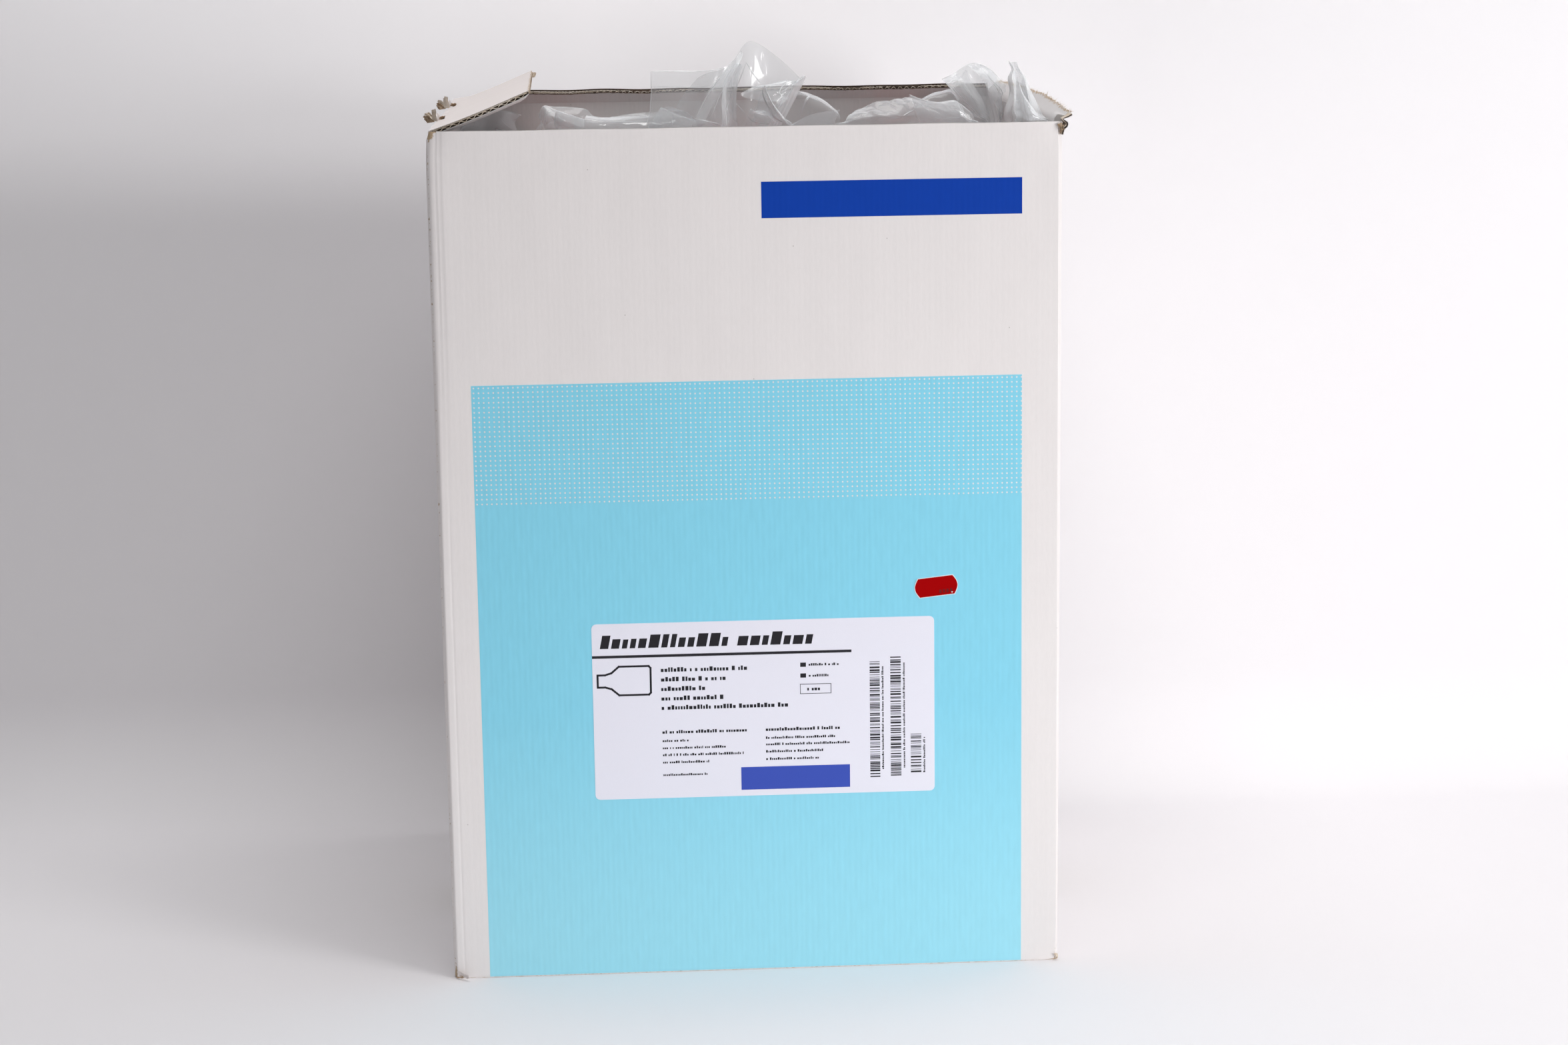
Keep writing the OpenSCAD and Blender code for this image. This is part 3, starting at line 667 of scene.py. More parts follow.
def flutedEdge(place, start, end, depthFrom, depthTo, seed=0, rough=0.0, middle=linerEdge, fine=kraft,
               pitch=1.0, half=0.13):
    # Both mediums of the double-wall board and the liner between them, along one edge
    liner, thick = carton["liner"], carton["board"]
    a = np.linspace(start, end, max(8, int((end - start) / 3)))
    random = np.random.default_rng(seed + 5)
    edge = depthTo - rough * np.abs(random.normal(0, 0.7, len(a)))
    # The middle liner, and the brown inner faces of the outer two, darkened as painted shade
    layers = [(middleLiner, liner, 0.0, middle), (liner + 0.02, 0.05, 0.5, kraftPaintedShade),
              (innerLiner - 0.07, 0.05, 0.5, kraftPaintedShade)]
    made = []
    for low, height, back, material in layers:
        section = [(depthFrom, low), (edge - back, low), (edge - back, low + height),
                   (depthFrom, low + height)]
        made.append(edgeBar(place, a, section, material))
    made += fluting(place, start, end, depthFrom, depthTo, liner, middleLiner,
                    pitch * carton["finePitch"], fine, seed, rough, half)
    made += fluting(place, start, end, depthFrom, depthTo, middleLiner + liner, thick - liner,
                    pitch * carton["coarsePitch"], linerEdge, seed + 1, rough, half)
    return made


def frontEdgePlace(a, o, t):
    # The front wall's top edge: along X, up from the rim, and inwards from the outer face
    z = carton["rim"] + o
    return np.stack([a, -carton["halfDepth"] - frontOffset(a, z) + t, z], -1)


# The front's fluting shows between the two corner folds
frontEdge = (-carton["halfWidth"] + 17, carton["halfWidth"] - 9)
walls = makePiece("carton_walls", "carton",
                  [outerSkin, innerSkin] + flutedEdge(frontEdgePlace, *frontEdge, -9.0, -0.35, seed=21),
                  replaced=["carton_blank"])
print("carton walls made:", len(walls.data.polygons), "faces")


def bentBoard(place, a, tip, root, seed=0, ragged=0.0, inset=5.0, ends=0.0, worn=0.45, wornReach=2.2,
              face=whiteBoard, core=kraftPaintedShade):
    # The board's liners and its core as thin solids over one (along, out) grid. tip(a) is the board's length
    # there, ragged is how unevenly each liner's free edge is cut or torn, and the core stays back by inset
    # and by ends
    random = np.random.default_rng(seed)
    liner, thick = carton["liner"], carton["board"]
    rows = np.linspace(0, 1, 18)
    layers = [(0, liner, face), (middleLiner, middleLiner + liner, linerEdge),
              (thick - liner, thick, insideBoard)]
    parts = []
    for number, (low, high, material) in enumerate(layers):
        jag = random.normal(0, 0.45, len(a))
        jag = jag + 0.8 * np.interp(a, a[::5], random.uniform(-1, 1, len(a[::5])))
        length = (tip(a) - ragged * np.abs(jag))[:, None]
        out = root + (length - root) * rows
        along = a[:, None] + 0 * out
        sheet = np.stack([along, out + 500 * number], -1)
        wear = 0.15 + worn * smooth(-wornReach, -0.2, out - length)
        parts.append(thinSolid(place(along, out, low), place(along, out, high), material, sheet, wear))
    # The core is dark kraft unless another is given: painted shade between the liners
    middle = a[(a >= a[0] + ends) & (a <= a[-1] - ends)]
    out = root + (tip(middle)[:, None] - inset - root) * rows
    along = middle[:, None] + 0 * out
    parts.append(thinSolid(place(along, out, liner), place(along, out, thick - liner), core))
    return parts


def bentPath(bend, radius, reach, step=0.1):
    # A sheet that runs straight up, turns by `bend` on an arc of that radius about 0 and runs straight again.
    # at(q) gives how far right and up it has come at q, and its heading's turn from straight up
    o = np.arange(-reach, reach + step, step)
    arc = abs(bend) * radius
    heading = bend * smooth(-arc / 2, arc / 2, o)
    right = np.cumsum(np.sin(heading)) * step
    up = np.cumsum(np.cos(heading)) * step
    middle = np.searchsorted(o, -arc / 2)
    right -= right[middle]
    up -= up[middle] + arc / 2

    def at(q):
        return np.interp(q, o, right), np.interp(q, o, up), np.interp(q, o, heading)

    return at


def slimRoot(o, t):
    # Under the crease a stub is a little thinner than the board, so that its root lies inside the wall
    squeeze = 0.16 * smooth(0.2, -0.6, o)
    return squeeze + t * (1 - 2 * squeeze / carton["board"])


rearStub = {"length": 8.5, "lean": math.radians(35), "left": -158.0, "right": 177.0, "root": -3.0}
rearPath = bentPath(rearStub["lean"], 5.2, 20)
stubWave = randomWaves(31, 70)


def rearStubPlace(a, o, t):
    # Along X; out is up the rear wall and then inwards over the crease; thickness runs in from the outer face
    a, o, t = np.broadcast_arrays(np.asarray(a, float), o, t)
    right, up, heading = rearPath(o)
    t = slimRoot(o, t)
    heading = heading + 0.05 * stubWave(a, 0) * smooth(0, 3, o)
    y = carton["halfDepth"] - right - t * np.cos(heading)
    z = carton["rim"] + up - t * np.sin(heading)
    return np.stack([a, y, z + 0.35 * stubWave(a + 40, 0) * smooth(0, 6, o)], -1)


def rearTip(a):
    # The cut edge: an even length and two small sines
    return rearStub["length"] + 0.35 * np.sin(a / 23) + 0.2 * np.sin(a / 7.3) + 0 * a


stubRows = np.linspace(rearStub["left"], rearStub["right"], 190)
parts = bentBoard(rearStubPlace, stubRows, rearTip, rearStub["root"], seed=41, ragged=0.25, ends=3.0,
                  worn=0.1)
# Its liners' cut edges are covered with strips of dark kraft: painted shade
for low in (0.04, carton["board"] - carton["liner"] - 0.02):
    inner, outer = (o + rearTip(stubRows) - rearStub["length"] for o in (8.0, rearStub["length"] + 0.3))
    section = [(inner, low), (outer, low), (outer, low + 0.38), (inner, low + 0.38)]
    parts.append(edgeBar(rearStubPlace, stubRows, section, kraftPaintedShade))
# Its middle liner and fluting are dark kraft too: painted shade under the stub's inward lean
parts += flutedEdge(rearStubPlace, rearStub["left"] + 0.5, rearStub["right"] - 0.5, 1.5, 8.2, seed=43,
                    rough=0.12, middle=kraftPaintedShade, fine=kraftPaintedShade, pitch=0.7)
makePiece("rear_flap_stub", "carton", parts)

tornStub = {
    "rise": math.radians(42),
    "front": -149.0,
    "rear": 151.0,
    "root": -3.0,
    "shares": [0, 0.04, 0.1, 0.18, 0.28, 0.55, 0.85, 1],            # along the stub from its front end
    "lengths": [7.6, 7.9, 8.8, 10.1, 11.5, 11.2, 9.6, 8.2],         # mm, up to the torn edge there
}
tornPath = bentPath(math.pi / 2 - tornStub["rise"], 2.2, 30)
tornWave = randomWaves(51, 60)
tornRough = randomWaves(52, 9)


def tornStubPlace(a, o, t):
    # Along Y; out is up the right wall and then outwards; the inner face ends on top
    a, o, t = np.broadcast_arrays(np.asarray(a, float), o, t)
    right, up, heading = tornPath(o)
    t = slimRoot(o, t)
    # The last stretch before the split corner is crushed thinner
    t = t * (1 - 0.72 * smooth(tornStub["front"] + 16, tornStub["front"], a) * smooth(0.5, 4, o))
    heading = heading + 0.10 * tornWave(a, 0) * smooth(0, 5, o)
    x = carton["halfWidth"] + rightFlare(a) + right - t * np.cos(heading)
    z = carton["rim"] + up + t * np.sin(heading) + 0.4 * tornWave(a + 90, o) * smooth(0, 6, o)
    return np.stack([x, a, z], -1)


def tornTip(a):
    # The torn edge: straight from one given length to the next, with short ripples
    share = (a - tornStub["front"]) / (tornStub["rear"] - tornStub["front"])
    return np.interp(share, tornStub["shares"], tornStub["lengths"]) + 0.5 * tornRough(a, 0)


tornRows = np.linspace(tornStub["front"], tornStub["rear"], 260)
parts = bentBoard(tornStubPlace, tornRows, tornTip, tornStub["root"], seed=61, ragged=1.0, inset=3.0,
                  ends=1.0, worn=0.42, wornReach=4.5)
parts += flutedEdge(tornStubPlace, tornStub["front"] + 1, tornStub["rear"] - 1, 4.4, 7.2, seed=63, rough=0.5)
# The liner that wraps the stub's front end
out, deep = np.meshgrid(np.linspace(tornStub["root"], 7.2, 14), np.linspace(0.05, 4.45, 6), indexing="ij")
cap = [tornStubPlace(tornStub["front"] + shift + 0 * out, out, deep) for shift in (-0.3, -0.05)]
parts.append(thinSolid(cap[0], cap[1], insideBoard, np.stack([deep, out + 700], -1), 0.15 + 0 * out))


def fibreTufts(place, start, end, out, count, length, seed, material):
    # Loose torn fibres: slim four-cornered shards that stand off the edge in random directions
    random = np.random.default_rng(seed)
    a = random.uniform(start, end, count)
    foot = place(a, out(a) - random.uniform(0.2, 1.4, count), random.choice([0.3, 1.7, 4.3], count))
    aim = place(a, out(a) + 2, 2.0 + 0 * a) - place(a, out(a), 2.0 + 0 * a)
    aim = aim / np.linalg.norm(aim, axis=1)[:, None] + random.normal(0, 0.75, (count, 3))
    tall = foot + aim * (random.uniform(0.4, 1.0, count) * length)[:, None]
    width = random.normal(0, 0.09, (3, count, 3))
    points = np.stack([foot + width[0], foot + width[1], foot + width[2], tall], 1).reshape(-1, 3)
    first = 4 * np.arange(count)[:, None]
    faces = np.concatenate([first + np.array(f) for f in ([0, 1, 2], [0, 3, 1], [1, 3, 2], [2, 3, 0])])
    return withPattern({"points": points, "faces": [faces], "material": material}, None, None)


parts.append(fibreTufts(tornStubPlace, tornStub["front"], tornStub["rear"], tornTip, 900, 1.5, 65,
                        linerEdge))
makePiece("torn_right_stub", "carton", parts)


# The crumpled board at the split front corner: an S-shaped section, from the stub's tip down beside the fold
crumple = {
    "path": [(7.4, 4.6), (5.0, 3.4), (2.6, 2.5), (1.6, 1.5), (2.7, 0.3), (4.3, -0.9), (4.0, -2.4),
             (2.4, -3.6), (1.7, -5.2), (1.3, -7.4)],
    "front": -155.7,
    "rear": -144.0,
    "gaps": [0.0, 0.42, 0.95],   # mm, where each liner lies off the path
    "liners": [0.24, 0.2, 0.3],
    "points": 60,
}


def makeCrumple():
    # Each liner is a strip that follows the path at its own gap, wavering as a sine, and runs back along Y
    count = crumple["points"]
    path = curveThrough(crumple["path"], count)
    along = np.gradient(path, axis=0)
    across = np.stack([along[:, 1], -along[:, 0]], -1) / np.linalg.norm(along, axis=1)[:, None]
    depth = np.linspace(0, 1, 7)
    made = []
    for number, (gap, thick) in enumerate(zip(crumple["gaps"], crumple["liners"])):
        ragged = 0.5 * np.sin(np.linspace(0, 9 + number, count) * 1.7 + number) * 0.6
        rear = crumple["rear"] - 4.5 * smooth(0.5, 4, path[:, 1])[:, None]
        y = crumple["front"] + ragged[:, None] + (rear - crumple["front"] - ragged[:, None]) * depth
        wander = 0.25 * np.sin(np.linspace(0, 7, count) + number)[:, None]
        sides = []
        for off in (gap, gap + thick):
            flat = path - across * (off + wander)
            x = carton["halfWidth"] + flat[:, 0, None] + 0 * y
            z = carton["rim"] + flat[:, 1, None] + 0 * y
            # The layers run back under the stub and close up there
            x = x - 1.2 * depth * smooth(0, 8, flat[:, 0])[:, None]
            sides.append(np.stack([x, y, z], -1))
        # The middle layer is dark kraft: painted shade in the gap between the liners
        material = [linerEdge, kraftPaintedShade, whiteBoard][number]
        sheet = np.stack(np.broadcast_arrays(y, np.linspace(0, 18, count)[:, None]), -1)
        made.append(thinSolid(sides[0], sides[1], material, sheet, np.full(y.shape, 0.3)))
    return made


makePiece("crumpled_corner", "carton", makeCrumple())

flapRise = math.radians(20)
leftFlap = {
    "front": flapLow[1],
    "rear": flapHigh[1],
    "frontLength": 62.5,
    "rearLength": 57.0,
    "root": 0.4,
    "curl": 0.04,         # radians by which the free half turns further up
    "pressedEnds": 9.0,   # mm, the reach of the press along both ends,
    "pressedTip": 5.5,    # and along the free edge
    "layers": [0, 0.4, 1.5, 1.9, 4.1, 4.5],                # mm, depths of the board's layers
    "pressedLayers": [0, 0.34, 0.7, 1.0, 2.6, 2.95],     # and the same where it is pressed
}
flapWave = randomWaves(71, 120)
flapCrumple = randomWaves(72, 16)


def flapPlace(a, o, t):
    # Along Y; out from the hinge, raised by the rest angle and curling a little; thickness runs downwards
    a, o, t = np.broadcast_arrays(a, o, t)
    angle = flapRise + leftFlap["curl"] * (smooth(0, 62, o) - 0.5)
    near = smooth(14, 0, o)
    lift = 0.9 * near * smooth(0.2, 1, flapCrumple(a, o)) + 2.2 * near * smooth(105, 140, a)
    lift = lift + 0.35 * flapWave(a, o)
    # Where the slots were cut, the press closed the fine fluting and flattened the coarse one
    front, rear = leftFlap["front"], leftFlap["rear"]
    edge = smooth(-leftFlap["pressedTip"], 0, o - flapTip(a))
    reach = leftFlap["pressedEnds"]
    pressed = np.maximum.reduce([smooth(front + reach, front, a), smooth(rear - reach, rear, a), edge])
    depth = t + pressed * (np.interp(t, leftFlap["layers"], leftFlap["pressedLayers"]) - t)
    depth = depth * (1 - 0.42 * edge)
    x = hinge[0] + o * np.cos(angle) + depth * np.sin(angle)
    z = hinge[2] + o * np.sin(angle) - depth * np.cos(angle) + np.clip(lift, -0.3, 3)
    return np.stack([x, a, z], -1)


def flapTip(a):
    # The flap's length changes evenly from front to rear, less a little at the rear corner
    share = (a - leftFlap["front"]) / (leftFlap["rear"] - leftFlap["front"])
    length = leftFlap["frontLength"] + (leftFlap["rearLength"] - leftFlap["frontLength"]) * share
    return length - 2.6 * smooth(0.975, 1, share)


flapRows = np.concatenate([leftFlap["front"] + np.array([0, 0.5, 1.2, 2.4]),
                           np.linspace(leftFlap["front"] + 5, leftFlap["rear"] - 3, 120),
                           leftFlap["rear"] - np.array([1.6, 0.6, 0.0])])
parts = bentBoard(flapPlace, flapRows, flapTip, leftFlap["root"], seed=81, ragged=0.3, inset=1.4, ends=1.3,
                  face=shadedWhiteBoard)
# The free edge is cut across the flutes, and both ends along them, where the slot crushed them
parts += flutedEdge(lambda a, o, t: flapPlace(a, flapTip(a) + o, t), leftFlap["front"] + 1,
                    leftFlap["rear"] - 4, -8.0, -0.5, seed=83, rough=0.15)
endSpan = leftFlap["frontLength"] - 1.5
for end, way, span, seed in (("front", -1, endSpan, 85), ("rear", 1, endSpan - 7, 87)):
    parts += flutedEdge(lambda a, o, t: flapPlace(leftFlap[end] + way * o, a, t), 1.0, span, -8.0, -0.3,
                        seed=seed, rough=0.4, fine=linerEdge, pitch=0.8, half=0.32)
makePiece("left_flap_board", "left_flap", parts, replaced=["left_flap"])

# The crease itself: a strip of liner that bends as the flap turns; its section is (in, up) from the hinge
creaseSection = np.array([(-0.02, -9.0), (-0.06, -6.0), (-0.16, -3.6), (-0.2, -2.2), (-0.14, -1.0),
                          (0.02, -0.1), (0.7, 0.32), (1.7, 0.66), (3.2, 1.2)])
creaseY = np.linspace(leftFlap["front"] + 0.3, leftFlap["rear"] - 0.3, 150)
creaseWobble = randomWaves(91, 25)


def creaseGrid(depth):
    # The section's points, pushed in by depth along the bisector of wall and flap
    x = hinge[0] + creaseSection[:, 0] + depth + 0.18 * creaseWobble(creaseY, 0)[:, None]
    z = hinge[2] + creaseSection[:, 1] - 0.8 * depth + 0 * x
    return np.stack([x, creaseY[:, None] + 0 * x, z], -1)


sheet = np.stack(np.meshgrid(creaseY, 520 + np.arange(len(creaseSection)), indexing="ij"), -1)
wear = np.full(sheet.shape[:2], 0.33)
crease = makePiece("left_crease", None,
                   [thinSolid(creaseGrid(0.0), creaseGrid(0.5), whiteBoard, sheet, wear)])
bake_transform(crease)


def flake(origin, side, out, lift, width, length, curl, seed, material, thick=0.4, ragged=0.1):
    # A torn scrap of liner: a crumpled strip that leaves its origin along `out`, turns towards `lift` by
    # `curl` radians and ends ragged
    random = np.random.default_rng(seed)
    origin, side, out, lift = (np.array(v, float) for v in (origin, side, out, lift))
    u = np.linspace(-0.5, 0.5, 13)[:, None]
    v = np.linspace(0, 1, 12)[None, :]
    torn = 1 - ragged * random.uniform(0, 1, 13) - 0.3 * np.abs(u[:, 0]) ** 2
    narrow = 1 - 0.35 * v + 0.14 * np.sin(7 * v + seed)
    turn = curl * v
    s = v * length * torn[:, None]
    arc = s * np.sinc(turn / (2 * math.pi))
    half = turn / 2
    crushed = 0.25 * u * v * length + 0.16 * width * np.sin(9 * u + 4 * v + seed) * v
    grids = []
    for shift in (0, thick):
        along = arc * np.cos(half) - shift * np.sin(turn)
        rise = arc * np.sin(half) + shift * np.cos(turn) + crushed
        shifts = (side * (u * width * narrow)[..., None], out * along[..., None], lift * rise[..., None])
        grids.append(origin + shifts[0] + shifts[1] + shifts[2])
    sheet = np.stack([u * width + 0 * v + 40 * seed, s + 0 * u], -1)
    return thinSolid(*grids, material, sheet, np.full(sheet.shape[:2], board["scrapWear"]))


# Two clusters of scraps torn from the outer face beside the flap's crease. Each scrap: its foot (x, y, z)
# from the cluster's middle on the hinge line, width, length, lean along x, curl in radians and material
scrapClusters = (-60, 78)
scraps = [
    # The last scrap, in dark kraft, is painted shade inside the curls
    (-3.0, -3, 0.0, 4.6, 5.0, -0.8, 0.6, tornKraft), (-1.6, 1, 0.2, 4.2, 8.0, -0.5, -0.7, linerEdge),
    (-0.6, -2, 0.6, 3.6, 9.4, -0.2, 0.9, linerEdge), (-3.8, 3, -0.6, 3.6, 4.0, -1.0, 1.2, kraft),
    (0.4, 3, 0.8, 3.0, 7.2, 0.15, -1.0, shadedWhiteBoard), (-2.4, 5, 0.0, 3.4, 5.4, -0.7, 1.5, tornKraft),
    (3.2, 0, 1.3, 3.8, 4.6, 0.2, 2.3, kraft), (3.5, 0.4, 1.5, 2.8, 3.4, 0.15, 2.0, kraftPaintedShade),
]
parts = []
for number, middle in enumerate(scrapClusters):
    for n, (x, y, z, width, length, lean, curl, material) in enumerate(scraps):
        turn = 0.7 * math.sin(2.3 * n + 1.9 * number)
        foot, side = hinge + (x, middle + y, z), (math.cos(turn), math.sin(turn), 0.25 * math.sin(3 * n))
        parts.append(flake(foot, side, (lean, 0.1, 0.8), (0.3, -0.9, 0.3), width, length, curl,
                           100 + 10 * number + n, material, 0.45))
# and the bit torn at the flap's rear corner
foot = (hinge[0] + 52.4, leftFlap["rear"] - 1.8, hinge[2] + 17.8)
parts.append(flake(foot, (0.1, 0.5, 0.85), (0.9, 0, -0.5), (0.4, 0, 0.9), 3.4, 3.4, 0.8, 140, linerEdge,
                   0.45))
makePiece("crease_scraps", "left_flap", parts)

halfWidth, halfDepth, rim = carton["halfWidth"], carton["halfDepth"], carton["rim"]
front = -halfDepth
wallScraps = [  # foot, side, heading, lift, width, length, curl, seed and material
    # the liner peeled off the front's bottom left corner
    ((0.6 - halfWidth, front - 0.4, 3.6), (0.15, 0.1, 0.95), (0.85, -0.33, -0.22), (0, -0.9, 0.3), 3.2, 9.0,
     0.5, 7, shadedWhiteBoard),
    ((0.2 - halfWidth, front - 0.2, 1.7), (0.1, 0, 0.9), (0.9, -0.2, -0.06), (0, -0.9, 0.2), 2.2, 4.6, 0.4,
     8, kraft),
    # the curl at its bottom right
    ((halfWidth + 0.6, front + 0.6, 1.3), (0.3, 0.3, 0.6), (0.8, -0.3, 0.5), (-0.7, -0.3, 0.6), 2.4, 5.4,
     2.4, 9, linerEdge),
    ((halfWidth + 0.5, front + 0.9, 1.2), (0.3, 0.3, 0.5), (0.8, -0.2, 0.35), (-0.6, -0.3, 0.6), 2.0, 3.6,
     1.6, 15, kraft),
    # the scraps at the split corner
    ((halfWidth + 0.2, front - 0.5, rim - 1.0), (0.9, 0, 0.3), (0.3, -0.1, -0.9), (0.3, -0.8, 0), 2.6, 5.0,
     0.7, 13, tornKraft),
    ((halfWidth + 1.6, front - 0.3, rim - 2.2), (0.8, 0.1, 0.4), (0.1, -0.1, -0.95), (0.5, -0.6, 0), 2.2,
     5.2, -0.8, 14, kraft),
    # and one on the rear stub
    ((158, halfDepth - 4.2, rim + 6.8), (1, 0, 0), (0, -0.5, 0.85), (0, -0.9, -0.2), 7.0, 3.2, 0.4, 11,
     kraft),
]
makePiece("wall_scraps", "carton", [flake(*scrap) for scrap in wallScraps])


base = {  # mm from the middle of the floor
    "outerReach": 154.4, "slit": 0.5, "outerEnd": 179.8, "innerEnd": 176.6, "innerLength": 150.0,
    "innerSpan": 150.0,
}


def flatBoard(x0, x1, y0, y1, z0):
    # A level board: its three liners, and the core between them
    liner, thick = carton["liner"], carton["board"]
    x, y = np.meshgrid(np.linspace(x0, x1, 30), np.linspace(y0, y1, 16), indexing="ij")
    coreX = np.clip(x, x0 + 0.5, x1 - 0.5)
    layers = [(x, 0, liner, whiteBoard), (coreX, liner, thick - liner, kraft),
              (x, middleLiner, middleLiner + liner, linerEdge), (x, thick - liner, thick, insideBoard)]
    sheet = np.stack([x, y + 900], -1)
    wear = np.full(x.shape, 0.1)
    made = []
    for gridX, low, high, material in layers:
        below, above = (np.stack([gridX, y, z0 + level + 0 * x], -1) for level in (low, high))
        made.append(thinSolid(below, above, material, sheet, wear))
    return made


parts = []
for side in (-1, 1):
    y = sorted((side * base["slit"], side * base["outerReach"]))
    parts += flatBoard(-base["outerEnd"], base["outerEnd"], *y, 0.0)
    x = sorted((side * base["innerEnd"], side * (base["innerEnd"] - base["innerLength"])))
    parts += flatBoard(*x, -base["innerSpan"], base["innerSpan"], carton["board"] + 0.02)
makePiece("base_flaps", "carton", parts)

tapeHalf = (tapeHigh[1] - tapeLow[1]) / 2
tapeTop = tapeHigh[2]
tapePath = np.array([(-halfWidth, z) for z in np.linspace(tapeTop, 3, 12)]
                    + [(-halfWidth + 0.3, 0.9), (-halfWidth + 1.0, 0.2), (-halfWidth + 2.2, 0.0)]
                    + [(x, 0.0) for x in np.linspace(-halfWidth + 8, halfWidth - 8, 30)]
                    + [(halfWidth - 2.2, 0.0), (halfWidth - 1.0, 0.2), (halfWidth - 0.3, 0.9)]
                    + [(halfWidth, z) for z in np.linspace(3, tapeTop, 12)])


def tapeGrid(lift):
    # The path over the wall, round the bottom fold and across, standing off the board by lift
    y = np.linspace(-tapeHalf, tapeHalf, 16)[None, :]
    x, z = tapePath[:, :1] + 0 * y, tapePath[:, 1:] + 0 * y
    swell = np.sign(x) * sideOffset(y + 0 * x, z, halfDepth) * (np.abs(x) > halfWidth - 0.1)
    outX = smooth(halfWidth - 4, halfWidth, np.abs(x)) * np.sign(x)
    outZ = -1 + smooth(0, 3, z)
    return np.stack([x + swell + outX * lift, y + 0 * x, z + outZ * lift], -1)


# Biaxially stretched polypropylene tape with acrylic glue: clear, pale and glossy
tapeMaterial, add = newMaterial("clear packing tape")
shader = add("BsdfPrincipled", {"Base Color": hexToLinear("#e4ddd0"), "Roughness": 0.22, "Alpha": 0.45,
                                "IOR": 1.5})
add("OutputMaterial", {"Surface": shader})
makePiece("packing_tape", "carton", [thinSolid(tapeGrid(0.15), tapeGrid(0.02), tapeMaterial)],
          replaced=["base_tape"])
print("base and tape made")


def frontPoint(x, z, lift):
    # A point on the front face, standing off it by lift
    x, z = np.broadcast_arrays(np.asarray(x, float), np.asarray(z, float))
    y = -halfDepth * (1 - bottomTuck(z) / halfWidth) - frontOffset(x, z) - lift
    return np.stack([x, y, z], -1)


def frontPanel(x0, x1, levels, lift, material, origin=(0, 0), corner=0.0, tilt=0.0):
    # A thin sheet on the front between x0 and x1 at the given levels, with round corners and tilted
    u = np.linspace(-1, 1, max(6, int((x1 - x0) / 4)))[:, None]
    levels = np.asarray(levels, float)[None, :]
    near = np.clip(corner - np.minimum(levels - levels.min(), levels.max() - levels), 0, corner)
    half = (x1 - x0) / 2 - (corner - np.sqrt(np.clip(corner ** 2 - near ** 2, 0, None)))
    x, z = u * half, levels - levels.mean() + 0 * u
    middle = ((x0 + x1) / 2, float(levels.mean()))
    turnedX = middle[0] + x * math.cos(tilt) - z * math.sin(tilt)
    turnedZ = middle[1] + x * math.sin(tilt) + z * math.cos(tilt)
    sheet = np.stack([turnedX - origin[0], turnedZ - origin[1]], -1)
    front, back = frontPoint(turnedX, turnedZ, lift), frontPoint(turnedX, turnedZ, -0.12)
    return thinSolid(front, back, material, sheet)


field = {"rows": 25}  # of white dots
dotStart = fieldHigh[2] - field["rows"] * printing["dotPitch"]
levels = np.concatenate([[0.8, 1.2, 1.6, 3, 6], np.linspace(12, fieldHigh[2], 36)])
makePiece("light_blue_field", "carton",
          [frontPanel(fieldLow[0], fieldHigh[0], levels, printing["lift"], lightInk,
                      origin=(fieldLow[0], dotStart))],
          replaced=["print_field"])
makePiece("deep_blue_bar", "carton",
          [frontPanel(barLow[0], barHigh[0], np.linspace(barLow[2], barHigh[2], 6),
                      printing["lift"], deepInk)],
          replaced=["print_bar"])

label = {"lift": 0.18, "corner": 3.0, "inkLift": 0.02}


def inkQuads(x, z, lift, material):
    # Flat printed four-cornered marks as thin boxes: x and z hold one row of four corners for each
    x, z = np.asarray(x, float), np.asarray(z, float)
    corners = np.concatenate([frontPoint(x, z, lift), frontPoint(x, z, lift - 0.08)], 1)
    start = 8 * np.arange(len(x))[:, None, None]
    box = np.array([(0, 1, 2, 3), (7, 6, 5, 4), (0, 4, 5, 1), (1, 5, 6, 2), (2, 6, 7, 3), (3, 7, 4, 0)])
    part = {"points": corners.reshape(-1, 3), "faces": [(start + box).reshape(-1, 4)], "material": material}
    return facedOutwards(withPattern(part, None, None))


def inkBlocks(x0, x1, z0, z1, lift, material, slant=0.0):
    # Upright printed blocks, their tops pushed along by slant times their height
    x0, x1, z0, z1 = (np.asarray(v, float).reshape(-1, 1) for v in (x0, x1, z0, z1))
    push = slant * (z1 - z0)
    return inkQuads(np.concatenate([x0, x1, x1 + push, x0 + push], 1), np.concatenate([z0, z0, z1, z1], 1),
                    lift, material)


def inkStroke(path, width, lift, material):
    # A printed line of even width along a path, in pieces a little longer than needed so that they meet
    path = np.array(path, float)
    step = np.diff(path, axis=0)
    step = step / np.linalg.norm(step, axis=1)[:, None] * width / 2
    across = np.stack([-step[:, 1], step[:, 0]], -1)
    start, end = path[:-1] - 0.8 * step, path[1:] + 0.8 * step
    corners = np.stack([start - across, end - across, end + across, start + across], 1)
    return inkQuads(corners[..., 0], corners[..., 1], lift, material)


def greekedLine(x0, x1, y, height, seed):
    # A line of print without letters: blocks of random widths between x0 and x1, parted into words
    random = np.random.default_rng(seed)
    widths = height * random.uniform(0.35, 0.75, 200)
    gaps = np.where(random.uniform(0, 1, 200) < 0.18, 0.75, 0.2) * height
    ends = np.cumsum(widths + gaps)
    count = max(1, int(np.searchsorted(ends, x1 - x0)))
    left = x0 + ends[:count] - widths[:count] - gaps[:count]
    tall = random.choice([0.68, 0.72, 1.0], 200)[:count] * height
    return np.stack([left, left + widths[:count], y + height - tall, np.full(count, y + height)])


